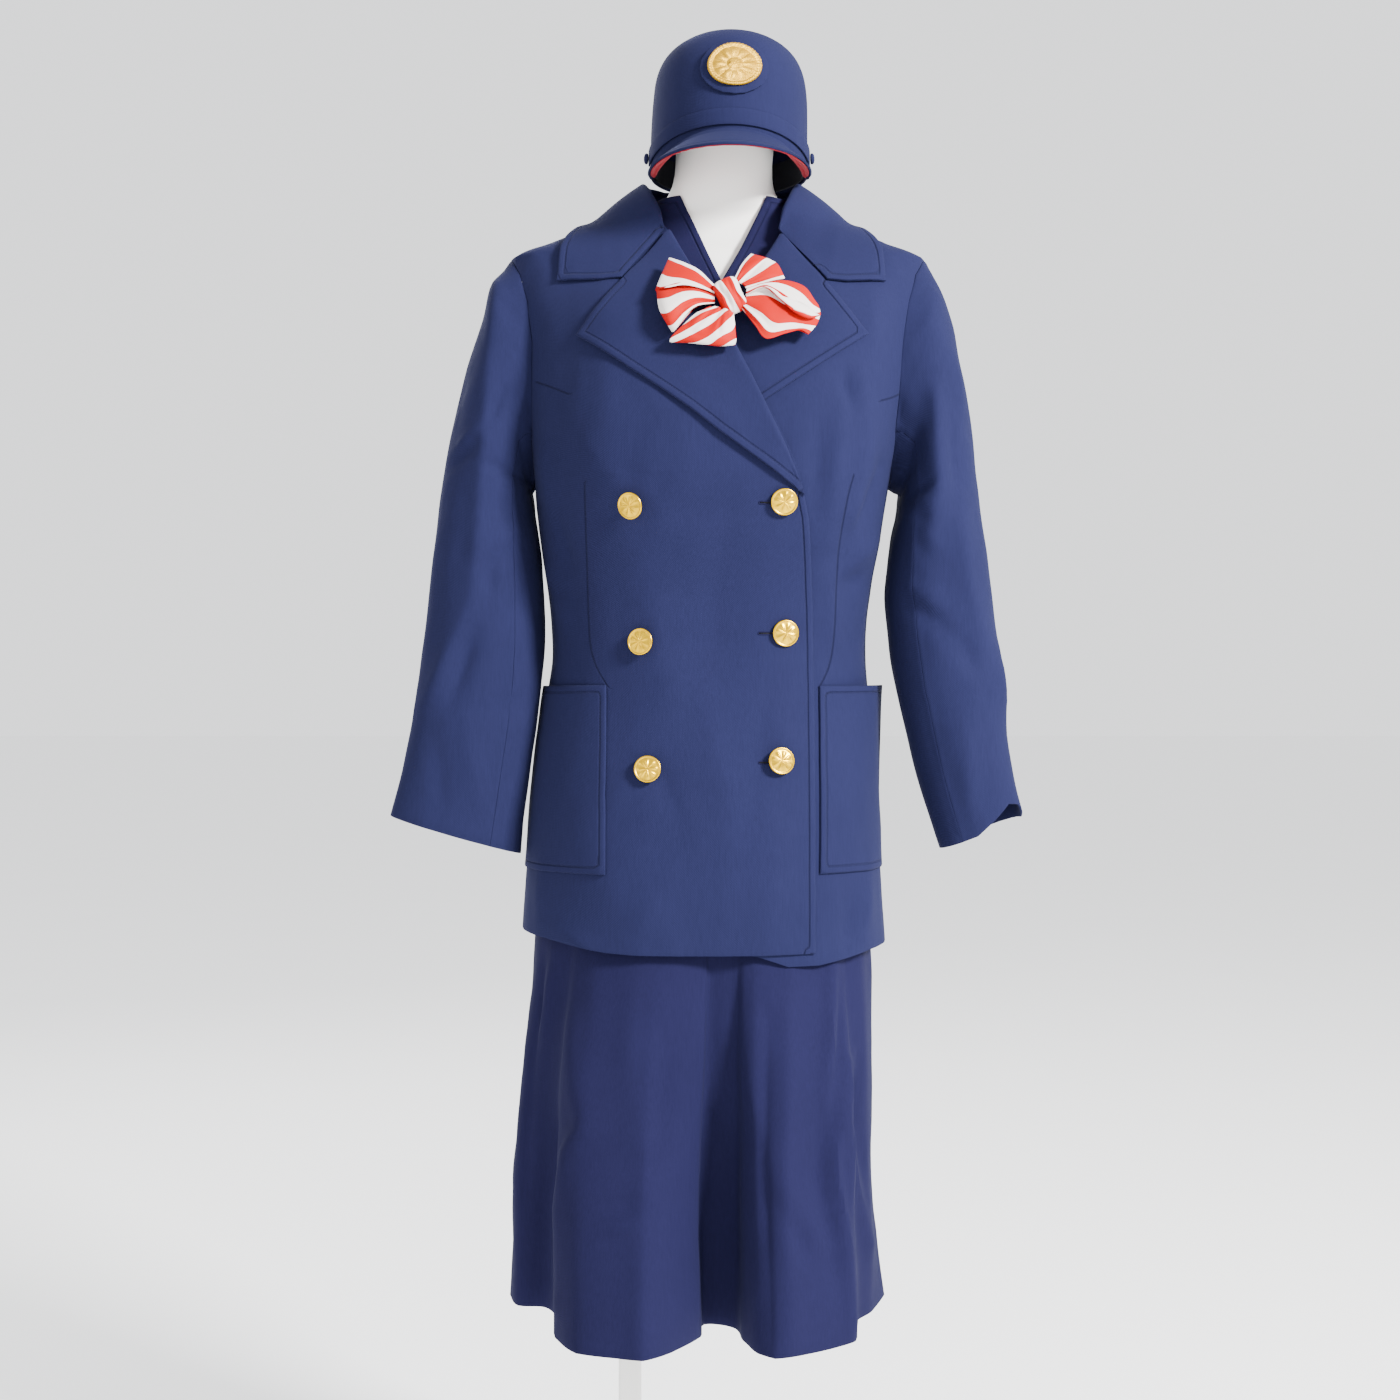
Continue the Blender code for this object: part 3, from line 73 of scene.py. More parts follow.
def along(values, place):
    # a smooth curve through evenly spaced values, by Catmull and Rom's rule
    last = len(values) - 1
    i = min(max(int(place), 0), last - 1)
    t = place - i
    p0, p1, p2, p3 = values[max(i - 1, 0)], values[i], values[i + 1], values[min(i + 2, last)]
    bend = (2 * p0 - 5 * p1 + 4 * p2 - p3) * t * t + (3 * p1 - p0 - 3 * p2 + p3) * t * t * t
    return 0.5 * (2 * p1 + (p2 - p0) * t + bend)


# Materials

def addNode(tree, kind, inputs=None, **settings):
    node = tree.nodes.new(kind)
    for key, value in settings.items():
        setattr(node, key, value)
    for key, value in (inputs or {}).items():
        if isinstance(value, bpy.types.NodeSocket):
            tree.links.new(value, node.inputs[key])
        else:
            node.inputs[key].default_value = value
    return node


def maths(tree, operation, a, b=None, c=None, clamp=False):
    inputs = {i: v for i, v in enumerate((a, b, c)) if v is not None}
    return addNode(tree, "ShaderNodeMath", inputs, operation=operation, use_clamp=clamp).outputs[0]


def noiseAt(tree, place, scale, detail=2.0):
    inputs = {"Vector": place, "Scale": scale, "Detail": detail}
    return addNode(tree, "ShaderNodeTexNoise", inputs).outputs["Fac"]


def attribute(tree, name):
    return addNode(tree, "ShaderNodeAttribute", attribute_name=name).outputs["Fac"]


def blendColour(tree, factor, a, b, way="MIX"):
    a, b = (c if isinstance(c, bpy.types.NodeSocket) else (*c, 1.0) for c in (a, b))
    inputs = {0: factor, 6: a, 7: b}
    return addNode(tree, "ShaderNodeMix", inputs, data_type="RGBA", blend_type=way).outputs[2]


def bareMaterial(name, roughness, **sockets):
    # a material with its node tree, its shader and the object's own coordinates
    made = bpy.data.materials.new(name)
    made.use_nodes = True
    tree = made.node_tree
    shader = tree.nodes["Principled BSDF"]
    shader.inputs["Roughness"].default_value = roughness
    for key, value in sockets.items():
        shader.inputs[key.replace("_", " ")].default_value = value
    return made, tree, shader, addNode(tree, "ShaderNodeTexCoord").outputs["Object"]


def giveLooks(tree, shader, colour, height, strength, depth):
    tree.links.new(colour, shader.inputs["Base Color"])
    bump = addNode(tree, "ShaderNodeBump", {"Height": height, "Strength": strength, "Distance": depth})
    tree.links.new(bump.outputs[0], shader.inputs["Normal"])


# Every woven cloth: its colour in the light and the dark yarns, its twill's pitch and its relief
cloths = {
    "navySuiting": {"light": (0.0140, 0.0152, 0.0500), "dark": (0.0062, 0.0070, 0.0250), "twill": 0.9 * mm,
                    "bump": 0.9, "roughness": 0.85, "sheen": 0.03, "sheenTint": (0.45, 0.5, 0.95, 1)},
    "navyDress": {"light": (0.0116, 0.0109, 0.0410), "dark": (0.0052, 0.0052, 0.0208), "twill": 0.8 * mm,
                  "bump": 0.8, "roughness": 0.85, "sheen": 0.02, "sheenTint": (0.45, 0.5, 0.95, 1)},
    "redLining": {"light": (0.36, 0.020, 0.034), "dark": (0.26, 0.012, 0.022), "twill": 0.5 * mm,
                  "bump": 0.4, "roughness": 0.6, "sheen": 0.1, "sheenTint": (1, 0.6, 0.6, 1)},
    "blackBand": {"light": (0.012, 0.012, 0.016), "dark": (0.006, 0.006, 0.008), "twill": 1.4 * mm,
                  "bump": 1.0, "roughness": 0.75, "sheen": 0.1, "sheenTint": (0.7, 0.7, 0.8, 1)},
}
# The weave: the spacing of the wave texture's diagonal bands at a scale of 1, the scales of the
# yarn, of its long slubs and of the cloudy wear, and each one's share in the shade
weave = {"bandSpacing": 0.3628, "yarn": 1500.0, "slubs": (900, 900, 60), "clouds": 9.0, "ribShare": 0.55,
         "yarnShare": 0.45, "weaveShade": 0.5, "slubShade": 0.5, "cloudShade": 0.35, "shadeFrom": 0.18,
         "relief": 0.13, "sheenRoughness": 0.45, "specular": 0.04}
# The stitch groove is sunk by bump and also darkened in colour as painted shade
stitching = {"fromEdge": 6.5 * mm, "groove": 1.5 * mm, "thread": 0.45 * mm, "pitch": 2.6 * mm,
             "stitchShare": 0.72, "paintedGrooveShadeShare": 0.35, "paintedGrooveShadeTone": 0.45, "threadShade": 0.5,
             "threadRelief": 0.3, "grooveRelief": 0.8, "rimRelief": 0.9}
# The dart line's half width, the share and tone of the painted shade along it, and its valley's relief
seamLineAndPaintedShade = {"half": 1.3 * mm, "shade": 0.55, "dark": 0.3, "relief": 0.9}


def clothMaterial(name, cloth):
    made, tree, shader, place = bareMaterial(
        name, cloth["roughness"], Sheen_Weight=cloth["sheen"], Sheen_Roughness=weave["sheenRoughness"],
        Sheen_Tint=cloth["sheenTint"], Specular_IOR_Level=weave["specular"],
    )
    # the twill's diagonal ribs, broken up by the unevenness of the yarn
    bands = {"Vector": place, "Scale": weave["bandSpacing"] / cloth["twill"], "Distortion": 1.2,
             "Detail": 1.0, "Detail Scale": 1.6}
    ribs = addNode(tree, "ShaderNodeTexWave", bands, bands_direction="DIAGONAL").outputs["Fac"]
    yarn = noiseAt(tree, place, weave["yarn"], 3.0)
    slub = addNode(tree, "ShaderNodeMapping", {"Vector": place, "Scale": weave["slubs"]}).outputs[0]
    slub = noiseAt(tree, slub, 1.0)
    cloud = noiseAt(tree, place, weave["clouds"], 3.0)
    woven = maths(tree, "MULTIPLY", yarn, weave["yarnShare"])
    woven = maths(tree, "MULTIPLY_ADD", ribs, weave["ribShare"], woven)
    shade = maths(tree, "MULTIPLY", cloud, weave["cloudShade"])
    shade = maths(tree, "MULTIPLY_ADD", slub, weave["slubShade"], shade)
    shade = maths(tree, "MULTIPLY_ADD", woven, weave["weaveShade"], shade)
    shade = maths(tree, "SUBTRACT", shade, weave["shadeFrom"], clamp=True)
    colour = blendColour(tree, shade, cloth["dark"], cloth["light"])

    # the row of stitches that runs inside a piece's sewn edges, with painted shade darkening the groove it
    # sinks into
    edge = attribute(tree, "edgeDistance")
    off = maths(tree, "ABSOLUTE", maths(tree, "SUBTRACT", edge, stitching["fromEdge"]))
    groove = maths(tree, "SUBTRACT", 1.0, maths(tree, "DIVIDE", off, stitching["groove"]), clamp=True)
    beat = maths(tree, "FRACT", maths(tree, "DIVIDE", attribute(tree, "edgeRun"), stitching["pitch"]))
    stitch = maths(tree, "LESS_THAN", beat, stitching["stitchShare"])
    thread = maths(tree, "MULTIPLY", maths(tree, "LESS_THAN", off, stitching["thread"]), stitch)
    # painted shade: the groove's colour is drawn towards a darker tone of the dark yarn
    dark = tuple(stitching["paintedGrooveShadeTone"] * c for c in cloth["dark"])
    colour = blendColour(tree, maths(tree, "MULTIPLY", groove, stitching["paintedGrooveShadeShare"]), colour, dark)
    share = maths(tree, "MULTIPLY", thread, stitching["threadShade"])
    colour = blendColour(tree, share, colour, cloth["light"])

    # darts inside a piece, as a line of no width with a shallow valley on both sides, darkened along the line
    # as painted shade
    side = maths(tree, "ABSOLUTE", attribute(tree, "seamSide"))
    line = maths(tree, "SUBTRACT", 1.0, maths(tree, "DIVIDE", side, seamLineAndPaintedShade["half"]), clamp=True)
    line = maths(tree, "MULTIPLY", line, attribute(tree, "seamOn"))
    # painted shade: the dart line's colour is drawn towards a darker tone of the dark yarn
    dark = tuple(seamLineAndPaintedShade["dark"] * c for c in cloth["dark"])
    colour = blendColour(tree, maths(tree, "MULTIPLY", line, seamLineAndPaintedShade["shade"]), colour, dark)

    # the rolled edge that the stitches hold stands up between them and the rim
    rim = maths(tree, "DIVIDE", edge, stitching["fromEdge"], clamp=True)
    rim = maths(tree, "ABSOLUTE", maths(tree, "MULTIPLY_ADD", rim, 2.0, -1.0))
    rim = maths(tree, "SUBTRACT", 1.0, maths(tree, "POWER", rim, 4.0))
    height = maths(tree, "MULTIPLY", thread, stitching["threadRelief"])
    height = maths(tree, "MULTIPLY_ADD", woven, weave["relief"], height)
    height = maths(tree, "SUBTRACT", height, maths(tree, "MULTIPLY", groove, stitching["grooveRelief"]))
    height = maths(tree, "SUBTRACT", height, maths(tree, "MULTIPLY", line, seamLineAndPaintedShade["relief"]))
    height = maths(tree, "MULTIPLY_ADD", rim, stitching["rimRelief"], height)
    giveLooks(tree, shader, colour, height, cloth["bump"], mm)
    return made


# The scarf: slanting stripes over a UV map that holds metres along and across the ribbon
scarf = {"red": (0.38, 0.002, 0.001), "white": (0.72, 0.68, 0.65), "stripe": 12.5 * mm, "redHalf": 0.275,
         "sharpness": 60.0, "wobble": 1.2 * mm, "wobbles": 60.0, "grain": 2200.0,
         "grainTint": (0.5, 0.3, 0.28), "grainShare": 0.18, "roughness": 0.62}


def scarfMaterial():
    made, tree, shader, place = bareMaterial(
        "scarfStripes", scarf["roughness"], Sheen_Weight=0.03, Sheen_Roughness=0.4, Specular_IOR_Level=0.08,
    )
    ribbon = addNode(tree, "ShaderNodeUVMap", uv_map="ribbon").outputs[0]
    across = addNode(tree, "ShaderNodeSeparateXYZ", {0: ribbon}).outputs["Y"]
    wobble = noiseAt(tree, ribbon, scarf["wobbles"])
    line = maths(tree, "MULTIPLY_ADD", wobble, scarf["wobble"], across)
    beat = maths(tree, "FRACT", maths(tree, "DIVIDE", line, 2 * scarf["stripe"]))
    beat = maths(tree, "ABSOLUTE", maths(tree, "SUBTRACT", beat, 0.5))
    red = maths(tree, "SUBTRACT", scarf["redHalf"], beat)
    red = maths(tree, "MULTIPLY_ADD", red, scarf["sharpness"], 0.5, clamp=True)
    grain = noiseAt(tree, place, scarf["grain"])
    share = maths(tree, "MULTIPLY", grain, scarf["grainShare"])
    colour = blendColour(tree, red, scarf["white"], scarf["red"])
    colour = blendColour(tree, share, colour, scarf["grainTint"], "MULTIPLY")
    giveLooks(tree, shader, colour, grain, 0.25, 0.2 * mm)
    return made


gilt = {"light": (0.80, 0.50, 0.006), "dark": (0.52, 0.30, 0.002), "patches": 160.0, "grain": 1400.0,
        "smoothest": 0.2, "roughSpan": 0.22}
giltThread = {"light": (0.66, 0.38, 0.004), "dark": (0.24, 0.11, 0.001), "strands": 620.0, "twist": 3.0}


def goldMaterial():
    made, tree, shader, place = bareMaterial("giltMetal", 0.28, Metallic=1.0)
    grain = noiseAt(tree, place, gilt["grain"], 4.0)
    colour = blendColour(tree, noiseAt(tree, place, gilt["patches"]), gilt["dark"], gilt["light"])
    rough = maths(tree, "MULTIPLY_ADD", grain, gilt["roughSpan"], gilt["smoothest"])
    tree.links.new(rough, shader.inputs["Roughness"])
    giveLooks(tree, shader, colour, grain, 0.2, 0.1 * mm)
    return made


def goldThreadMaterial():
    made, tree, shader, place = bareMaterial("giltThread", 0.42, Metallic=0.65, Specular_IOR_Level=0.6)
    waves = {"Vector": place, "Scale": giltThread["strands"], "Distortion": giltThread["twist"]}
    strands = addNode(tree, "ShaderNodeTexWave", waves).outputs["Fac"]
    colour = blendColour(tree, strands, giltThread["dark"], giltThread["light"])
    giveLooks(tree, shader, colour, strands, 0.5, 0.3 * mm)
    return made


# The smooth whites: colours of the clouded paint or shell, roughness, its grain's size and relief
whites = {
    "form": {"name": "formWhite", "light": (0.93, 0.92, 0.885), "dark": (0.89, 0.88, 0.845),
             "roughness": 0.5, "grain": 1.5 * mm, "bump": 0.12},
    "stand": {"name": "standWhite", "light": (0.80, 0.79, 0.76), "dark": (0.76, 0.75, 0.72),
              "roughness": 0.35, "grain": 1.0 * mm, "bump": 0.08},
}


def whiteMaterial(white):
    made, tree, shader, place = bareMaterial(white["name"], white["roughness"])
    colour = blendColour(tree, noiseAt(tree, place, 5.0, 4.0), white["dark"], white["light"])
    giveLooks(tree, shader, colour, noiseAt(tree, place, 1 / white["grain"]), white["bump"], 0.2 * mm)
    return made


materials = {name: clothMaterial(name, cloth) for name, cloth in cloths.items()}
materials["scarf"] = scarfMaterial()
materials["gilt"] = goldMaterial()
materials["giltThread"] = goldThreadMaterial()
materials.update({name: whiteMaterial(white) for name, white in whites.items()})
report("materials")


# Cloth from the frame: the outer face of a node's wall, as a sheet of quads

def splitPatches(bm, bend, facing):
    # the patches of a surface between its sharp edges, and what each one's area is worth
    patchOf, worth = [-1] * len(bm.faces), []
    for first in bm.faces:
        if patchOf[first.index] >= 0:
            continue
        patchOf[first.index] = len(worth)
        todo, total = [first], 0.0
        while todo:
            face = todo.pop()
            total += face.calc_area() * (1.0 if facing is None else max(face.normal.dot(facing), 0.0))
            for edge in face.edges:
                if len(edge.link_faces) != 2 or edge.calc_face_angle() > math.radians(bend):
                    continue
                for other in edge.link_faces:
                    if patchOf[other.index] < 0:
                        patchOf[other.index] = len(worth)
                        todo.append(other)
        worth.append(total)
    return patchOf, worth


def joinToQuads(bm):
    bmesh.ops.join_triangles(
        bm, faces=bm.faces, angle_face_threshold=math.radians(70), angle_shape_threshold=math.radians(120),
    )


def outerSkin(node, wall, facing=None, bend=60, reach=2.0):
    # drops the narrow faces round a wall's rim, then keeps the worthiest of the patches that are left
    bm = bmesh.new()
    bm.from_mesh(frame["nodes"][node].data)
    bmesh.ops.remove_doubles(bm, verts=bm.verts, dist=0.002 * mm)
    bm.faces.ensure_lookup_table()
    bm.faces.index_update()
    tree = BVHTree.FromBMesh(bm)
    rim = []
    for face in bm.faces:
        start = face.calc_center_median() - face.normal * 0.01 * mm
        if tree.ray_cast(start, -face.normal, wall * reach)[0] is None:
            rim.append(face)
    bmesh.ops.delete(bm, geom=rim, context="FACES")
    bm.faces.ensure_lookup_table()
    bm.faces.index_update()
    patchOf, worth = splitPatches(bm, bend, facing)
    best = worth.index(max(worth))
    bmesh.ops.delete(bm, geom=[f for f in bm.faces if patchOf[f.index] != best], context="FACES")
    joinToQuads(bm)
    return bm


def refine(bm, cuts, roundness=1.0, flatShare=None):
    # rounds a sheet as it cuts it finer, but for the share that stays as flat as its solid
    coarse = bpy.data.meshes.new("coarse")
    bm.to_mesh(coarse)
    flat = bmesh.new()
    for sheet, smooth in ((bm, roundness), (flat, 0.0)):
        sheet.clear()
        sheet.from_mesh(coarse)   # both from one mesh, so that their points keep one order
        sheet.normal_update()
        bmesh.ops.subdivide_edges(
            sheet, edges=sheet.edges, cuts=cuts, use_grid_fill=True, smooth=smooth, smooth_falloff="LINEAR",
        )
    if flatShare:
        for vertex, flatVertex in zip(bm.verts, flat.verts):
            vertex.co = vertex.co.lerp(flatVertex.co, flatShare(flatVertex.co))
    flat.free()
    bpy.data.meshes.remove(coarse)
    bm.normal_update()


def pushOut(bm, height):
    # moves each point along its normal by what height gives for its place and normal
    bm.normal_update()
    moved = [(v, v.co + v.normal * height(v.co, v.normal)) for v in bm.verts]
    for vertex, place in moved:
        vertex.co = place
    bm.normal_update()


def restOn(bm, under, gap, times=4, reach=16 * mm):
    # lifts a sheet's points until the whole sheet, cloth and all, clears the pieces under it
    for _ in range(times):
        bm.normal_update()
        moved = []
        for vertex in bm.verts:
            out = vertex.normal
            nearest = 2 * reach
            for name in under:
                distance = finished[name].ray_cast(vertex.co + out * reach, -out, 2 * reach)[3]
                if distance is not None:
                    nearest = min(nearest, distance)
            short = gap - (nearest - reach)
            if short > 0.01 * mm:
                moved.append((vertex, vertex.co + out * short))
        for vertex, place in moved:
            vertex.co = place
        if not moved:
            break


def closeSeam(bm, beside, reach, gap=0.2 * mm):
    # brings a sheet's free edge up to the sheets that it is sewn to
    for vertex in [v for v in bm.verts if v.is_boundary]:
        best = None
        for name in beside:
            place, _, _, distance = finished[name].find_nearest(vertex.co, reach)
            if place is not None and (best is None or distance < best[1]):
                best = (place, distance)
        if best and best[1] > gap:
            vertex.co = best[0] + (vertex.co - best[0]).normalized() * gap
    bm.normal_update()


def nearAny(place, names, reach):
    return any(finished[name].find_nearest(place, reach)[0] is not None for name in names)


# The folds that the cloth has fallen into, each a soft ridge seen from the front or the back, in
# millimetres: its width, its height, which is negative for a hollow, and its line as (x, z) places
folds = {
    "jacket": {
        "front": [
            (14, 5.0, (148, 1197), (153, 1143), (148, 1088)), (7, -4.0, (132, 1202), (137, 1170)),
            (11, 4.2, (129, 1172), (121, 1114), (116, 1050)),
            (11, 5.0, (146, 1131), (138, 1075), (143, 1054)),
            (8, -4.5, (166, 1122), (150, 1080), (129, 1037)), (8, 3.6, (168, 1056), (138, 1030)),
            (8, -3.6, (155, 1019), (129, 1010)), (10, 2.8, (121, 1010), (122, 930)),
            (10, -2.5, (108, 1150), (104, 1080)), (12, 3.0, (160, 1270), (158, 1215)),
            (8, 3.2, (-146, 1129), (-135, 1056)), (8, -3.6, (-140, 1085), (-120, 1030)),
            (9, 3.2, (-150, 1040), (-128, 985)), (8, -2.4, (-146, 1010), (-116, 1000)),
            (16, 1.8, (-120, 1150), (-60, 1090)), (14, -1.5, (-100, 1120), (-40, 1100)),
            (12, -1.6, (-40, 1071), (60, 1073)), (12, -1.6, (-42, 957), (64, 960)),
            (9, 2.0, (-52, 842), (-92, 812)), (10, -1.8, (-40, 850), (-20, 800)),
            (24, 3.0, (0, 905), (27, 812)), (18, -2.2, (60, 905), (40, 760)),
            (22, 2.2, (-50, 1030), (-30, 900)), (18, -2.0, (20, 1040), (10, 930)),
            (10, 2.4, (-128, 694), (-92, 676)), (14, 2.0, (-30, 740), (-60, 690)),
            (9, 4.0, (156, 745), (151, 686)), (8, -3.0, (137, 722), (135, 681)),
            (10, 2.4, (-146, 760), (-150, 700)), (16, 2.0, (70, 790), (60, 690)),
        ],
        "back": [
            (22, 3.0, (-90, 1010), (110, 1000)), (16, -2.6, (-60, 960), (80, 950)),
            (20, 3.2, (-110, 1150), (-60, 1060)), (20, 3.2, (140, 1150), (90, 1060)),
            (26, 2.8, (-20, 880), (-50, 720)), (26, 2.6, (90, 860), (110, 710)),
            (12, -3.0, (-135, 1120), (-120, 1020)), (12, -3.0, (165, 1120), (150, 1020)),
        ],
    },
    "sleeves": {
        "front": [
            (10, 4.6, (-192, 1298), (-197, 1195), (-201, 1135), (-205, 1068), (-210, 1007), (-237, 939)),
            (6, -3.4, (-236, 1124), (-207, 1143)), (6, 2.4, (-233, 1137), (-210, 1156)),
            (5, -3.2, (-197, 1158), (-184, 1195)), (6, -3.0, (-200, 1126), (-165, 1113)),
            (9, -4.0, (-194, 1030), (-196, 1005)), (9, 4.4, (-259, 894), (-233, 946)),
            (9, -4.2, (-210, 965), (-233, 905)), (8, -2.6, (-203, 894), (-158, 905)),
            (10, 3.0, (-172, 1062), (-196, 1048)), (14, -2.6, (-225, 1230), (-232, 1150)),
            (12, 2.6, (-218, 880), (-200, 790)), (12, -2.4, (-245, 860), (-240, 800)),
            (9, 4.6, (219, 1190), (222, 1111), (215, 1053)), (6, 3.4, (238, 1230), (246, 1179)),
            (9, -3.4, (236, 1180), (240, 1090)), (8, 3.4, (196, 1010), (226, 992)),
            (8, -3.2, (200, 990), (236, 968)), (10, 4.0, (243, 1090), (250, 1017), (262, 960)),
            (10, 4.2, (286, 952), (280, 918), (292, 893)), (9, -3.8, (240, 957), (264, 930)),
            (8, -2.8, (262, 914), (212, 897)), (7, -3.0, (196, 1096), (220, 1110)),
            (7, 2.6, (198, 1080), (224, 1092)), (12, 2.6, (246, 880), (252, 800)),
        ],
        "back": [
            (13, 4.0, (-235, 1060), (-175, 1020)), (12, 3.6, (-240, 1005), (-175, 985)),
            (12, -3.8, (-238, 1030), (-178, 1002)), (14, 3.0, (-250, 930), (-190, 880)),
            (13, 4.0, (265, 1060), (200, 1020)), (12, 3.6, (270, 1005), (200, 985)),
            (12, -3.8, (266, 1030), (202, 1002)), (14, 3.0, (285, 930), (215, 880)),
        ],
    },
    "skirt": {
        "front": [
            (7, 4.0, (-136, 672), (-142, 630), (-149, 594)),
            (7, -4.0, (-147, 668), (-154, 620), (-160, 580)),
            (8, 5.5, (-101, 526), (-118, 503), (-127, 447), (-129, 360)),
            (8, -5.0, (-116, 524), (-134, 500), (-142, 447), (-145, 360)),
            (11, 3.4, (-116, 610), (-112, 540)), (8, 2.4, (-85, 503), (-27, 513)),
            (7, -2.2, (-84, 490), (-40, 498)), (6, 3.0, (-88, 450), (-50, 441)),
            (6, -2.4, (-86, 462), (-50, 453)), (14, 3.0, (36, 660), (44, 560), (60, 500)),
            (12, -4.5, (62, 620), (56, 500), (62, 345)), (12, 4.5, (82, 664), (74, 472), (80, 345)),
            (6, 5.0, (122, 668), (118, 586), (111, 534)), (7, -4.0, (133, 668), (129, 590), (122, 560)),
            (6, 5.5, (128, 549), (120, 485), (132, 409), (136, 345)),
            (7, -4.5, (108, 530), (106, 480), (118, 400)),
            (6, 5.0, (137, 574), (132, 524), (144, 447), (160, 391)),
            (6, -3.6, (148, 574), (143, 524), (156, 447)), (8, 3.0, (73, 472), (116, 416)),
            (7, -2.4, (70, 455), (104, 404)), (5, -2.2, (4, 538), (21, 513)),
            (12, 2.6, (-60, 640), (-66, 560)), (14, -2.4, (-30, 600), (-36, 480)),
            (6, -3.0, (-150, 655), (-160, 560), (-166, 430)),
        ],
        "back": [
            (20, 5.0, (-60, 620), (-80, 335)), (20, 5.0, (70, 620), (80, 335)),
            (18, -5.0, (0, 600), (5, 335)), (18, -4.0, (-125, 600), (-135, 335)),
            (18, -4.0, (130, 600), (135, 335)),
        ],
    },
}

# Small unevenness of each cloth, and how the folds of the tables are raised: height times scale,
# crispness 2 for a rounded ridge and 1 for a sharp one, and the share of its height at a fold's tips
unevenness = {"jacket": 2.2 * mm, "sleeves": 2.6 * mm, "skirt": 2.4 * mm}
waves = ((1.0, (14, 14, 9)), (0.35, (45, 45, 30)))   # share of the unevenness, and its scale along x, y, z
folding = {"scale": 1.35, "crispness": 1.5, "tip": 0.35, "ends": (0.08, 0.92), "reach": 3,
           "leastFacing": 0.05, "fade": 2.5}


def fromPath(x, z, path):
    # how far a place is from a line of places, and its share along that line
    best, share = 1e9, 0.0
    for i, (start, end) in enumerate(zip(path, path[1:])):
        dx, dz = end[0] - start[0], end[1] - start[1]
        t = ((x - start[0]) * dx + (z - start[1]) * dz) / (dx * dx + dz * dz)
        t = min(max(t, 0.0), 1.0)
        away = math.hypot(x - start[0] - dx * t, z - start[1] - dz * t)
        if away < best:
            best, share = away, (i + t) / (len(path) - 1)
    return best, share


def foldHeight(kind):
    def height(place, out):
        total = 0.0
        for share, scale in waves:
            total += unevenness[kind] * share * noise.noise(place * Vector(scale))
        for side, table in folds[kind].items():
            facing = -out.y if side == "front" else out.y
            if facing <= folding["leastFacing"]:
                continue
            for wide, high, *path in table:
                away, share = fromPath(place.x / mm, place.z / mm, path)
                if away < folding["reach"] * wide:
                    taper = math.sin(math.pi * min(max(share, folding["ends"][0]), folding["ends"][1]))
                    taper = mix(folding["tip"], 1.0, taper)
                    ridge = math.exp(-(away / wide) ** folding["crispness"])
                    total += folding["scale"] * high * mm * ridge * taper * ease(facing * folding["fade"])
        return total
    return height


# Lines of stitches: distance from, and run along, the edges that are sewn

shortestChain = 30 * mm


def edgeChains(bm, keep):
    left = {e for e in bm.edges if e.is_boundary and keep(e.verts[0].co) and keep(e.verts[1].co)}
    ordered = [e for e in bm.edges if e in left]
    chains = []
    for first in ordered:
        if first not in left:
            continue
        left.discard(first)
        chain = [first.verts[0], first.verts[1]]
        for atEnd in (False, True):
            while True:
                tip = chain[-1] if atEnd else chain[0]
                step = next((e for e in tip.link_edges if e in left), None)
                if step is None:
                    break
                left.discard(step)
                chain.insert(len(chain) if atEnd else 0, step.other_vert(tip))
        chain = [v.co.copy() for v in chain]
        if sum((b - a).length for a, b in zip(chain, chain[1:])) > shortestChain:
            chains.append(chain)
    return chains


def giveValues(mesh, name, values):
    mesh.attributes.new(name, "FLOAT", "POINT").data.foreach_set("value", values.astype(np.float32))


def markEdges(mesh, chains):
    points = np.array([v.co for v in mesh.vertices])
    best, run = np.full(len(points), 1.0), np.zeros(len(points))
    for chain in chains:
        done = 0.0
        for a, b in zip(chain, chain[1:]):
            a, b = np.array(a), np.array(b)
            length = np.linalg.norm(b - a)
            if length < 1e-7:
                continue
            t = np.clip(((points - a) @ (b - a)) / length**2, 0, 1)
            away = np.linalg.norm(points - a - t[:, None] * (b - a), axis=1)
            nearer = away < best
            best[nearer], run[nearer] = away[nearer], done + t[nearer] * length
            done += length
    giveValues(mesh, "edgeDistance", best)
    giveValues(mesh, "edgeRun", run)


dartLines = {"steps": 12, "fade": 3 * mm, "reach": 9 * mm}


def markSeams(mesh, seams):
    # a signed distance from each line of (x, z) places on the front keeps a seam sharp between points
    points = np.array([v.co for v in mesh.vertices])[:, [0, 2]]
    side, near, on = np.ones(len(points)), np.ones(len(points)), np.zeros(len(points))
    for seam in seams:
        turns, steps = np.array(seam), dartLines["steps"]
        line = [along(turns, i / steps) for i in range(steps * (len(seam) - 1) + 1)]
        for i, (a, b) in enumerate(zip(line, line[1:])):
            long = np.linalg.norm(b - a)
            way = (b - a) / long
            run = (points - a) @ way
            across = (points - a) @ np.array((way[1], -way[0]))
            away = np.hypot(across, run - np.clip(run, 0.0, long))
            past = np.maximum(-run if i == 0 else 0.0, run - long if i == len(line) - 2 else 0.0)
            nearer = away < near
            near[nearer] = away[nearer]
            side[nearer] = np.copysign(away, across)[nearer]
            fade = np.clip(1.0 - past / dartLines["fade"], 0.0, 1.0)
            on[nearer] = (fade * (away < dartLines["reach"]))[nearer]
    giveValues(mesh, "seamSide", side)
    giveValues(mesh, "seamOn", on)


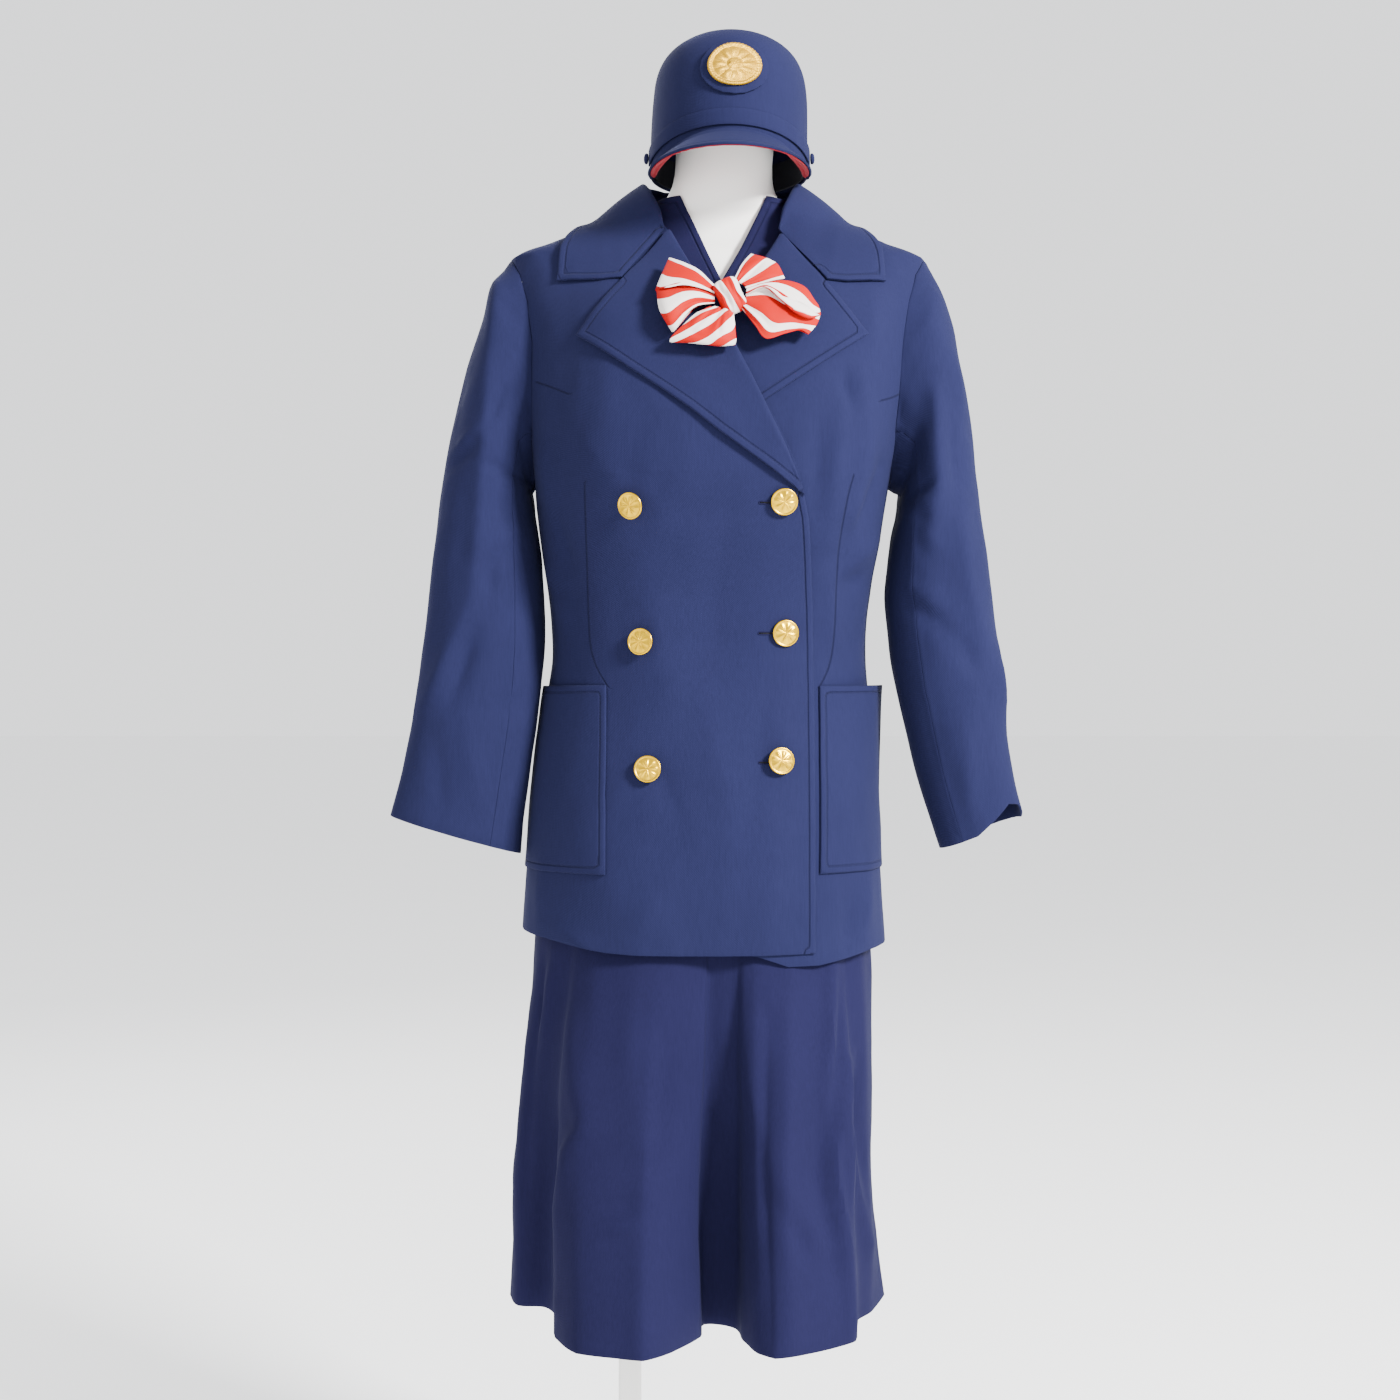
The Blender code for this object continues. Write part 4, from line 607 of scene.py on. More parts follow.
def finishPiece(
    bm, name, material, replaced=(), wall=None, softEdge=0.0, chains=None, seams=None,
):
    # turns a bmesh into a piece that rides on the part, and keeps its surface for others to lie on
    mesh = bpy.data.meshes.new(name)
    bm.to_mesh(mesh)
    finished[name] = BVHTree.FromBMesh(bm)
    area = sum(face.calc_area() for face in bm.faces)
    bm.free()
    mesh.shade_smooth()
    mesh.materials.append(materials[material])
    if chains is not None:
        markEdges(mesh, chains)
    if seams:
        markSeams(mesh, seams)
    piece = bpy.data.objects.new(name, mesh)
    bpy.context.scene.collection.objects.link(piece)
    if wall:
        thick = piece.modifiers.new("wall", "SOLIDIFY")
        thick.thickness = wall
        thick.offset = -1.0
    if softEdge:
        bevel = piece.modifiers.new("softEdge", "BEVEL")
        bevel.width = softEdge
        bevel.segments = 2
        bevel.limit_method = "ANGLE"
        bevel.angle_limit = math.radians(55)
    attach(piece, "root")
    if replaced:
        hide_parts(*replaced)
    return piece


def foldProfile(radius, under, steps=6, drop=0.4 * mm):
    # a half turn seen from its end, as (forward, down) pairs, and the flat that lies inside after it
    turns = [math.pi * i / steps for i in range(1, steps + 1)]
    rows = [(radius * math.sin(a), radius * (1 - math.cos(a))) for a in turns]
    return rows + [(-under * 0.5, 2 * radius), (-under, 2 * radius + drop)]


def rollUnder(bm, keep, radius, under, taper):
    # folds a sheet back along an edge: the cloth rolls round a small radius and lies inside
    edges = [e for e in bm.edges if e.is_boundary and keep(e.verts[0].co) and keep(e.verts[1].co)]
    bm.normal_update()
    start = {}
    for edge in edges:
        face = edge.link_faces[0]
        off = (edge.verts[0].co + edge.verts[1].co) / 2 - face.calc_center_median()
        way = (edge.verts[1].co - edge.verts[0].co).normalized()
        off = (off - way * off.dot(way)).normalized()
        for vertex in edge.verts:
            place, out, total = start.get(vertex, (vertex.co.copy(), vertex.normal.copy(), Vector()))
            start[vertex] = (place, out, total + off)
    origin = {v: v for v in start}
    for forward, down in foldProfile(radius, under):
        made = bmesh.ops.extrude_edge_only(bm, edges=edges)["geom"]
        newOrigin = {}
        for vertex in (g for g in made if isinstance(g, bmesh.types.BMVert)):
            old = next(e.other_vert(vertex) for e in vertex.link_edges if e.other_vert(vertex) in origin)
            first = origin[old]
            place, out, total = start[first]
            off = (total - out * total.dot(out)).normalized()
            vertex.co = place + (off * forward - out * down) * taper(place)
            newOrigin[vertex] = first
        origin = newOrigin
        edges = [g for g in made if isinstance(g, bmesh.types.BMEdge) and g.is_boundary]
        edges = [e for e in edges if e.verts[0] in origin and e.verts[1] in origin]
    bm.normal_update()


report("tools")


# The dress: each panel's length, how much of its flat sheet it fills, and its rounding

dress = {"wall": 1.3 * mm, "cuts": 5, "bend": 82, "reach": 4.0, "softEdge": 0.35 * mm, "sideSeam": 12 * mm,
         "panels": {"bodice_front": (0.52, 0.72, 1.0), "bodice_back": (0.50, 0.78, 1.0),
                    "skirt_front": (0.62, 0.88, 0.7), "skirt_back": (0.62, 0.90, 0.7)},
         "neck": {"middle": 20 * mm, "foot": 1293.5 * mm, "half": 46 * mm, "top": 1360 * mm,
                  "topHalf": 76 * mm}}


def atNeckline(p):
    neck = dress["neck"]
    half = neck["topHalf"] if p.z > neck["top"] else neck["half"]
    return p.z > neck["foot"] and abs(p.x - neck["middle"]) < half


def makeDress():
    for node, (long, fill, roundness) in dress["panels"].items():
        bm = outerSkin(node, dress["wall"], bend=dress["bend"], reach=dress["reach"])
        refine(bm, dress["cuts"], roundness)
        stitched = edgeChains(bm, atNeckline) if node.startswith("bodice") else []
        if node.startswith("skirt"):
            pushOut(bm, foldHeight("skirt"))
        if node == "skirt_back":
            closeSeam(bm, ["skirt_front_cloth"], dress["sideSeam"])
        wall, softEdge = dress["wall"], dress["softEdge"]
        finishPiece(bm, node + "_cloth", "navyDress", [node], wall, softEdge, stitched)


makeDress()
report("dress")


# The jacket. Lines on its front are (x, z) places, in millimetres but for the darts'.

jacket = {"wall": 2.0 * mm, "cuts": 5, "softEdge": 0.6 * mm, "gap": 0.35 * mm, "rollRadius": 3.6 * mm,
          "rollUnder": 14 * mm, "rollTip": 0.25, "rollGrows": 60 * mm, "backSeam": 4 * mm,
          "sleeveSeam": 6 * mm, "frontEdge": [(104, 655), (103, 905), (98, 1060), (93, 1089)]}
shoulder = {"middle": 17 * mm, "from": 148 * mm, "over": 15 * mm, "foot": 1290 * mm, "up": 25 * mm,
            "deep": 60 * mm, "flat": 0.85}
darts = {
    "jacket_front_right": [
        [(-0.1045, 1.1010), (-0.1035, 1.040), (-0.1015, 0.965), (-0.0960, 0.938), (-0.085, 0.918)],
        [(-0.152, 1.2010), (-0.136, 1.1925), (-0.119, 1.1835)],
    ],
    "jacket_front_left": [
        [(0.139, 1.108), (0.133, 1.085), (0.1265, 1.040), (0.1235, 0.970), (0.119, 0.938), (0.110, 0.918)],
        [(0.189, 1.1925), (0.178, 1.1855), (0.166, 1.1800)],
    ],
}


def shoulderShare(place):
    # how flat the panels stay near the ends of the shoulder seam, where rounding would part them
    outward = ease((abs(place.x - shoulder["middle"]) - shoulder["from"]) / shoulder["over"])
    upward = ease((place.z - shoulder["foot"]) / shoulder["up"])
    return shoulder["flat"] * outward * upward * ease(1 - abs(place.y) / shoulder["deep"])


def startPanel(node, folded=None, wall=jacket["wall"], flatShare=None, cuts=jacket["cuts"]):
    bm = outerSkin(node, wall)
    refine(bm, cuts, flatShare=flatShare)
    if folded:
        pushOut(bm, foldHeight(folded))
    return bm


def sewPanel(bm, node, stitched=(), wall=jacket["wall"], seams=None):
    name, softEdge = node + "_cloth", jacket["softEdge"]
    finishPiece(bm, name, "navySuiting", [node], wall, softEdge, stitched, seams)


def makeFront(node, under):
    bm = startPanel(node, "jacket", flatShare=shoulderShare)
    if under:
        restOn(bm, under, jacket["wall"] + jacket["gap"])
    stitched = []
    if node.endswith("right"):
        stitched = edgeChains(bm, lambda p: fromPath(p.x / mm, p.z / mm, jacket["frontEdge"])[0] < 5)
    sewPanel(bm, node, stitched, seams=darts[node])


def makeBack(node):
    bm = startPanel(node, "jacket", flatShare=shoulderShare)
    beside = ["jacket_front_right_cloth", "jacket_front_left_cloth", "jacket_back_right_cloth"]
    closeSeam(bm, [name for name in beside if name in finished], jacket["backSeam"])
    sewPanel(bm, node)


# Each lapel: the foot and the top of its roll line, in metres, and its seam with the collar
lapels = {
    "lapel_right": {"foot": (0.092, 1.090), "top": (-0.029, 1.343), "under": ["jacket_front_right_cloth"],
                    "gorge": [(-29, 1343), (-68, 1290)]},
    "lapel_left": {"foot": (-0.060, 1.090), "top": (0.076, 1.339), "under": ["jacket_front_left_cloth"],
                   "gorge": [(76, 1339), (113, 1287)]},
}


def makeLapel(node):
    settings = lapels[node]
    foot, top = Vector(settings["foot"]), Vector(settings["top"])
    way = (top - foot).normalized()

    def offRoll(p):
        rest = Vector((p.x, p.z)) - foot
        return abs(rest.x * way.y - rest.y * way.x)

    def sewn(p):
        return offRoll(p) > 3.5 * mm and fromPath(p.x / mm, p.z / mm, settings["gorge"])[0] > 6

    def rollSize(p):
        return mix(jacket["rollTip"], 1.0, ease((p.z - settings["foot"][1]) / jacket["rollGrows"]))

    bm = startPanel(node)
    restOn(bm, settings["under"], jacket["wall"] + jacket["gap"])
    stitched = edgeChains(bm, sewn)
    rollUnder(bm, lambda p: offRoll(p) < 3.0 * mm, jacket["rollRadius"], jacket["rollUnder"], rollSize)
    sewPanel(bm, node, stitched)


pocket = {"wall": 1.7 * mm, "long": 0.175, "fill": 0.98}


def makePocket(node, under):
    bm = startPanel(node, "jacket", pocket["wall"])
    restOn(bm, under, pocket["wall"] + jacket["gap"])
    stitched = edgeChains(bm, lambda p: True)
    sewPanel(bm, node, stitched, wall=pocket["wall"])


# The collar: where its fold lies, how the fold grows from the gorge, and how near its seams are
collar = {"foldFoot": 1343.5 * mm, "neck": (20 * mm, 0.0), "neckRadius": 95 * mm, "under": 9 * mm,
          "tip": 0.12, "growsFrom": 1345 * mm, "grows": 24 * mm, "gorgeSeam": 2.5 * mm, "unsewn": 3 * mm}


def makeCollar():
    body = [f"jacket_{panel}_{side}_cloth" for panel in ("front", "back") for side in ("right", "left")]
    gorge = ["lapel_right_cloth", "lapel_left_cloth"]

    def atRoll(p):
        return p.z > collar["foldFoot"] and math.hypot(p.x - collar["neck"][0], p.y) < collar["neckRadius"]

    def rollSize(p):
        return mix(collar["tip"], 1.0, ease((p.z - collar["growsFrom"]) / collar["grows"]))

    bm = startPanel("collar")
    restOn(bm, body, jacket["wall"] + jacket["gap"])
    closeSeam(bm, gorge, collar["gorgeSeam"])
    stitched = edgeChains(bm, lambda p: not atRoll(p) and not nearAny(p, gorge, collar["unsewn"]))
    rollUnder(bm, atRoll, jacket["rollRadius"], collar["under"], rollSize)
    sewPanel(bm, "collar", stitched)
    sewPanel(startPanel("collar_stand", cuts=2), "collar_stand")


def makeSleeve(node):
    bm = startPanel(node, "sleeves")
    beside = [name for name in finished if name.startswith(("jacket", "sleeve"))]
    closeSeam(bm, beside, jacket["sleeveSeam"])
    sewPanel(bm, node)


makeFront("jacket_front_left", [])
makeLapel("lapel_left")
makeFront("jacket_front_right", ["jacket_front_left_cloth", "lapel_left_cloth"])
makeLapel("lapel_right")
makeBack("jacket_back_right")
makeBack("jacket_back_left")
makePocket("pocket_right", ["jacket_front_right_cloth"])
makePocket("pocket_left", ["jacket_front_left_cloth"])
makeCollar()
for sleeveSide in ("right", "left"):
    makeSleeve(f"sleeve_{sleeveSide}_top")
    makeSleeve(f"sleeve_{sleeveSide}_under")
report("jacket")


# The cap: each piece's wall, cloth, the side it shows, its length and how much of the sheet it fills

cap = {
    "cuts": 3, "softEdge": 0.4 * mm, "visorSeam": 5 * mm, "visorRoot": 1 * mm, "visorLap": 1.4 * mm,
    "liningDrop": 0.9 * mm, "stitchedBelow": 1404.5 * mm,
    "pieces": {
        "cap_crown": (2.4 * mm, "navySuiting", None, 0.24, 0.85),
        "cap_strap": (1.7 * mm, "navySuiting", None, 0.30, 0.95),
        "cap_sweatband": (1.5 * mm, "blackBand", None, 0.55, 0.95),
        "cap_visor": (2.0 * mm, "navySuiting", upright, 0.21, 0.7),
        "cap_visor_lining": (0.9 * mm, "redLining", upright, 0.20, 0.7),
        "cap_patch": (2.0 * mm, "navySuiting", front, 0.062, 0.78),
    },
}


def makeCap():
    crown = ["cap_crown_cloth"]
    for node, (wall, material, facing, long, fill) in cap["pieces"].items():
        bm = outerSkin(node, wall, facing)
        refine(bm, cap["cuts"])
        stitched = []
        if node == "cap_visor":
            closeSeam(bm, crown, cap["visorSeam"])
            for vertex in bm.verts:
                if nearAny(vertex.co, crown, cap["visorRoot"]):
                    vertex.co.z += cap["visorLap"]   # the root laps over the crown's rim
            stitched = edgeChains(bm, lambda p: p.z < cap["stitchedBelow"])
        if node == "cap_visor_lining":
            pushOut(bm, lambda p, out: -cap["liningDrop"] if nearAny(p, crown, cap["visorSeam"]) else 0.0)
        finishPiece(bm, node + "_cloth", material, [node], wall, cap["softEdge"], stitched)


makeCap()
report("cap")


# The bow. A ribbon is a table of rows, from the knot out to its fold and back behind. A row holds
# five places across it as (x, z, how far out in front of the lapels), in millimetres.

bow = {"thickness": 0.9 * mm, "chestHeights": (1200, 1250, 1290, 1312), "chestDepths": (127, 110, 90, 74),
       "chestMiddle": 16, "chestHalf": 190, "chestRound": 2.35, "layers": (12.6, 8.6), "layersFrom": 20,
       "layersOver": 40, "rowSteps": 12, "columnSteps": 56, "gather": 0.9, "ripple": 0.5, "unevenness": 0.6}
ribbons = {
    "bow_loop_right": {
        "columns": (0.0, 0.34, 0.56, 0.62, 1.0), "wide": 76, "slant": -0.12, "shift": 2, "long": 50,
        "rows": [
            [(13.2, 1262, 9), (13.3, 1266, 11.5), (13.5, 1270, 9.5), (13.8, 1271, 12), (15, 1277, 9)],
            [(-2, 1258, 14), (-2, 1268, 19.5), (-2, 1278, 16), (-2, 1275, 20), (0, 1293, 15)],
            [(-13, 1248, 16), (-15, 1264, 21.5), (-15, 1281, 18), (-16, 1277, 21.5), (-11, 1300, 16.5)],
            [(-21.5, 1235.5, 15), (-29, 1253, 20), (-31, 1276, 18.5), (-31, 1275, 20.5), (-22, 1305.5, 14)],
            [(-25, 1233, 10), (-36, 1253, 13), (-39, 1273, 13.5), (-39.3, 1277, 13.5), (-28.5, 1308.5, 9.5)],
            [(-21, 1237, 4.5), (-31, 1256, 6), (-34, 1272, 6), (-34, 1276, 6), (-24, 1302, 5)],
            [(-4, 1257.5, 3), (-6, 1264, 3.2), (-6, 1272, 3.2), (-6, 1274, 3.2), (-3, 1288, 3)],
            [(12.6, 1264, 4), (12.6, 1267, 4), (12.6, 1270, 4), (12.6, 1271.5, 4), (13, 1275, 4)],
        ],
        "creases": [((0.10, 0.30), (0.50, 0.62), 0.05, -2.2), ((0.05, 0.15), (0.40, 0.16), 0.05, -1.6),
                    ((0.05, 0.85), (0.34, 0.80), 0.05, -1.4)],
    },
    "bow_loop_left": {
        "columns": (0.0, 0.30, 0.53, 0.60, 1.0), "wide": 82, "slant": 0.05, "shift": 5, "long": 70,
        "rows": [
            [(38, 1256.5, 10), (39.5, 1261, 12.5), (41.5, 1270, 10.5), (41.5, 1269, 13), (42, 1278, 10)],
            [(49, 1239.5, 15), (54, 1251, 20), (62, 1274, 17.5), (57, 1276, 20.5), (60, 1282, 16)],
            [(58.7, 1227, 15), (67, 1242, 20.5), (79, 1266, 18.5), (70, 1264.5, 23), (77, 1284.3, 17)],
            [(76, 1232, 15), (84, 1243, 18.5), (94, 1259, 19), (83, 1252, 24), (94, 1279, 16)],
            [(90, 1236, 13), (97, 1242, 15), (103, 1252, 17), (97, 1247, 20.5), (103, 1267, 13.5)],
            [(97, 1233, 9), (105, 1243, 10), (107.5, 1251, 11), (108.7, 1253, 13), (107, 1261, 9)],
            [(82, 1240, 4.5), (88, 1247, 5), (92, 1256, 5.5), (92, 1258, 6), (93, 1271, 5)],
            [(60, 1247, 3), (62, 1255, 3.4), (64, 1262, 3.4), (64, 1264, 3.4), (63, 1274, 3)],
            [(41.5, 1261, 4), (41.5, 1264, 4), (41.5, 1267, 4), (41.5, 1268.5, 4), (41.4, 1272, 4)],
        ],
        "creases": [((0.04, 0.25), (0.30, 0.22), 0.05, -1.8), ((0.05, 0.42), (0.30, 0.45), 0.04, -1.6),
                    ((0.05, 0.8), (0.28, 0.86), 0.05, -1.4), ((0.36, 0.84), (0.55, 0.72), 0.05, -1.6)],
    },
    "bow_tail_right": {
        "columns": (0.0, 0.28, 0.50, 0.72, 1.0), "wide": 58, "slant": 0.75, "shift": 9, "long": 42,
        "rows": [
            [(10, 1258, 7.5), (15, 1258, 9.5), (20, 1257, 8), (25, 1256, 9.5), (30, 1253, 7)],
            [(-3, 1251, 12), (6, 1250, 16.5), (15, 1248, 14), (22, 1247, 17), (31, 1243, 12)],
            [(-16, 1238.5, 13), (-5, 1237, 17), (8, 1235, 15.5), (19, 1234, 18), (32, 1230, 13)],
            [(-25.3, 1228.5, 13), (-10, 1227, 16), (6, 1226, 16), (18, 1225, 17), (32.2, 1224.5, 13)],
            [(-26.3, 1223.5, 9.5), (-10, 1222.5, 11), (6, 1220.5, 11.5), (18, 1219, 11.5), (30.5, 1220.5, 9)],
            [(-17, 1228, 4), (-6, 1227, 4), (6, 1226, 4), (16, 1225.5, 4), (27, 1226, 4)],
            [(10, 1251.5, 3), (14, 1252, 3), (20, 1252, 3), (24, 1252, 3), (30, 1251, 3)],
        ],
        "creases": [((0.04, 0.35), (0.40, 0.28), 0.06, -1.8), ((0.04, 0.62), (0.42, 0.70), 0.05, -1.6),
                    ((0.30, 0.10), (0.48, 0.45), 0.05, -1.2)],
    },
    "bow_tail_left": {
        "columns": (0.0, 0.28, 0.50, 0.72, 1.0), "wide": 47, "slant": 0.0, "shift": 0.5, "long": 40,
        "rows": [
            [(31, 1283, 12), (33.5, 1282.5, 14), (36, 1281, 12.5), (38.5, 1280, 14), (41, 1277, 12)],
            [(37, 1299, 14.5), (44, 1297, 18.5), (51, 1293.5, 17), (58, 1290.5, 18), (65, 1284, 15)],
            [(44.5, 1310.5, 14), (54, 1307.5, 18), (62, 1303.5, 17.5), (69, 1298.5, 17), (75, 1286.5, 14)],
            [(46.8, 1313, 9.5), (57.5, 1310, 10.5), (66, 1306, 10.5), (71.5, 1301, 10), (76.5, 1288, 9)],
            [(43, 1305, 4.5), (52, 1302, 4.5), (59, 1298.5, 4.5), (64, 1295, 4.5), (69, 1286, 5)],
            [(34, 1287, 7), (37, 1286, 7), (40, 1284.5, 7), (42, 1283, 7), (44, 1280, 7)],
        ],
        "creases": [((0.04, 0.45), (0.40, 0.42), 0.05, -1.5)],
    },
}
knot = {"centre": (27.0, 1268.0), "out": 11.0, "wide": 13.0, "tall": 16.6, "deep": 8.8, "tilt": 24,
        "square": 3.2, "waist": 0.13, "stripes": (16, 23, 4, 5)}


def chestPlace(x, z, out):
    # a place in front of the lapels: the chest's half depth, rounded sideways, and the layers on it
    depth = np.interp(z, bow["chestHeights"], bow["chestDepths"])
    sideways, power = abs(x - bow["chestMiddle"]) / bow["chestHalf"], bow["chestRound"]
    depth *= (1 - sideways**power) ** (1 / power)
    layers = mix(*bow["layers"], ease((x - bow["layersFrom"]) / bow["layersOver"]))
    return Vector((x, -depth - layers - out, z)) * mm


def giveRibbonMap(bm, uvOf):
    layer = bm.loops.layers.uv.new("ribbon")
    for face in bm.faces:
        for loop in face.loops:
            loop[layer].uv = uvOf(loop.vert)


def makeRibbon(name, settings):
    rows = np.array(settings["rows"], float)
    spans, long = len(rows) - 1, 2 * settings["long"]
    bm = bmesh.new()
    bmesh.ops.create_grid(bm, x_segments=bow["rowSteps"] * spans, y_segments=bow["columnSteps"], size=0.5)
    shares = {v: (v.co.x + 0.5, v.co.y + 0.5) for v in bm.verts}

    def ribbonUv(vertex):
        s, t = shares[vertex]
        return s * long * mm, (t * settings["wide"] + settings["slant"] * s * long + settings["shift"]) * mm

    giveRibbonMap(bm, ribbonUv)
    for vertex, (s, t) in shares.items():
        column = float(np.interp(t, settings["columns"], range(5)))
        x, z, out = along([along(row, column) for row in rows], s * spans)
        inFront = ease((0.55 - s) / 0.1)   # the part before the fold shows, and is the livelier
        gather = math.cos(2 * math.pi * (t * 4.5 + 0.2)) * math.exp(-(s / 0.16) ** 2)
        relief = bow["gather"] * gather
        for start, end, wide, high in settings["creases"]:
            away, share = fromPath(s, t, [start, end])
            relief += high * math.exp(-(away / wide) ** 2) * mix(0.3, 1.0, math.sin(math.pi * share))
        ripple = bow["ripple"] * math.sin(2 * math.pi * (1.3 * t + 1.7 * s))
        ripple *= math.sin(math.pi * min(max(s, 0.0), 1.0))
        ripple += bow["unevenness"] * noise.noise(Vector((s * 6, t * 5, len(name))))
        vertex.co = chestPlace(x, z, out + relief * inFront + ripple * mix(0.2, 1.0, inFront))
    bmesh.ops.recalc_face_normals(bm, faces=bm.faces)
    foremost = min(bm.faces, key=lambda f: f.calc_center_median().y)
    if foremost.normal.y > 0:
        bmesh.ops.reverse_faces(bm, faces=bm.faces)
    finishPiece(bm, name + "_cloth", "scarf", [name], bow["thickness"])


def makeKnot():
    # a band wrapped round the ribbons: a squarish egg drawn in at its waist, with pleats along it
    bm = bmesh.new()
    bmesh.ops.create_uvsphere(bm, u_segments=64, v_segments=40, radius=1.0)
    turn = Matrix.Rotation(math.radians(knot["tilt"]), 2)
    centre = chestPlace(*knot["centre"], knot["out"])
    shares = {v: (v.co.x, v.co.z) for v in bm.verts}
    along1, across1, slant, shift = knot["stripes"]
    giveRibbonMap(bm, lambda v: (
        shares[v][1] * along1 * mm, (shares[v][0] * across1 + slant * shares[v][1] + shift) * mm,
    ))
    for vertex, (x, z) in shares.items():
        y = vertex.co.y
        pleats = 1 + 0.13 * math.cos(9.5 * x + 1.8 * z) * (1 - z * z) + 0.05 * math.cos(19 * x - 3 * z)
        square = (abs(x) ** knot["square"] + abs(z) ** knot["square"]) ** (1 / knot["square"])
        grow = math.hypot(x, z) / max(square, 1e-6)
        x, z = x * grow, z * grow
        x *= knot["wide"] * (1 - knot["waist"] * math.cos(2.2 * z))
        wide, tall = turn @ Vector((x, z * knot["tall"]))
        vertex.co = centre + Vector((wide, y * knot["deep"] * pleats, tall)) * mm
    piece = finishPiece(bm, "bow_knot_cloth", "scarf", ["bow_knot"])


for ribbonName, ribbonSettings in ribbons.items():
    makeRibbon(ribbonName, ribbonSettings)
makeKnot()
report("bow")


# Buttons: a turned gilt face with a rolled rim and a plain star of eight rays, on a shank. Each leans
# by its own share to the viewer's left. A profile's rows are radius, and height above its back.

buttons = {
    "button_right_top": 0.32, "button_right_middle": 0.22, "button_right_bottom": 0.10,
    "button_left_top": 0.06, "button_left_middle": 0.0, "button_left_bottom": -0.12,
}
button = {
    "foot": 0.4, "shank": 2.6, "neck": 1.2, "radius": 12.3, "rays": 8, "rayHeight": 0.6, "hollow": -0.3,
    "sides": 64,
    "face": [(9.0, 0), (11.8, 0.1), (12.3, 0.6), (12.25, 1.5), (11.8, 2.1), (11.2, 2.2), (10.7, 1.8),
             (10.4, 1.3), (9.8, 1.4), (8.4, 1.8), (7.0, 2.2), (5.2, 2.5), (3.6, 2.7), (2.0, 2.75),
             (0.0, 2.8)],
}
# A cap button's rows are a share of its radius, what is taken off it, and the height
capButton = {
    "crownMiddle": 28.5 * mm, "sides": 40,
    "profile": [(0, 0, -1.6), (1, 0.8, -1.6), (1, 0, -0.9), (1, 0, 0.1), (0.93, 0, 0.9), (0.75, 0, 1.6),
                (0.45, 0, 2.1), (0, 0, 2.3)],
}


def turned(profile, sides, unit=mm):
    # spins a profile of (radius, height) pairs round the upright axis
    bm = bmesh.new()
    chain = [bm.verts.new((radius * unit, 0, height * unit)) for radius, height in profile]
    edges = [bm.edges.new(pair) for pair in zip(chain, chain[1:])]
    bmesh.ops.spin(
        bm, geom=chain + edges, cent=(0, 0, 0), axis=upright, angle=2 * math.pi, steps=sides,
        use_merge=True,
    )
    bmesh.ops.remove_doubles(bm, verts=bm.verts, dist=0.01 * mm)
    bmesh.ops.recalc_face_normals(bm, faces=bm.faces)
    return bm


def standOn(bm, place, axis):
    turn = upright.rotation_difference(axis).to_matrix().to_4x4()
    bmesh.ops.transform(bm, matrix=Matrix.Translation(place) @ turn, verts=bm.verts)


def onFront(x, z, cloth="jacket_front_right_cloth"):
    return finished[cloth].ray_cast(Vector((x, -0.4, z)), Vector((0, 1, 0)))[:2]


def makeButton(name, lean):
    low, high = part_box(name)
    centre = (low + high) / 2
    place, normal = onFront(centre.x, centre.z)
    foot = button["foot"] + button["shank"] * abs(lean)
    back = foot + button["neck"] + button["radius"] * abs(lean)   # clear of the cloth when it leans
    stem = [(0.0, foot), (button["shank"], foot), (button["shank"], back - 0.3)]
    bm = turned(stem + [(radius, back + height) for radius, height in button["face"]], button["sides"])
    for vertex in bm.verts:
        radius = math.hypot(vertex.co.x, vertex.co.y) / mm
        if radius < 10.2 and vertex.co.z > (back + 1.0) * mm:
            ray = max(math.cos(math.atan2(vertex.co.y, vertex.co.x) * button["rays"]), button["hollow"])
            vertex.co.z += button["rayHeight"] * mm * ray * ease((9.8 - radius) / 2) * ease(radius / 3)
    standOn(bm, place, (normal + Vector((-lean, 0, 0))).normalized())
    finishPiece(bm, name + "_gilt", "gilt", [name])


def makeCapButton(name):
    low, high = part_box(name)
    centre = (low + high) / 2
    radius = (high.z - low.z) / 2 / mm
    profile = [(share * radius - inset, height) for share, inset, height in capButton["profile"]]
    bm = turned(profile, capButton["sides"])
    standOn(bm, centre, Vector((centre.x - capButton["crownMiddle"], centre.y, 0)).normalized())
    finishPiece(bm, name + "_covered", "navySuiting", [name])


buttonholes = {"x": 0.0595, "heights": (1.0815, 0.9655, 0.8485), "half": 5.5, "radius": 1.15, "thick": 0.42,
               "sides": 24, "ringSides": 8, "stitchLift": 0.30, "slitShadowLift": 0.16, "slitShadowWall": 0.12 * mm}


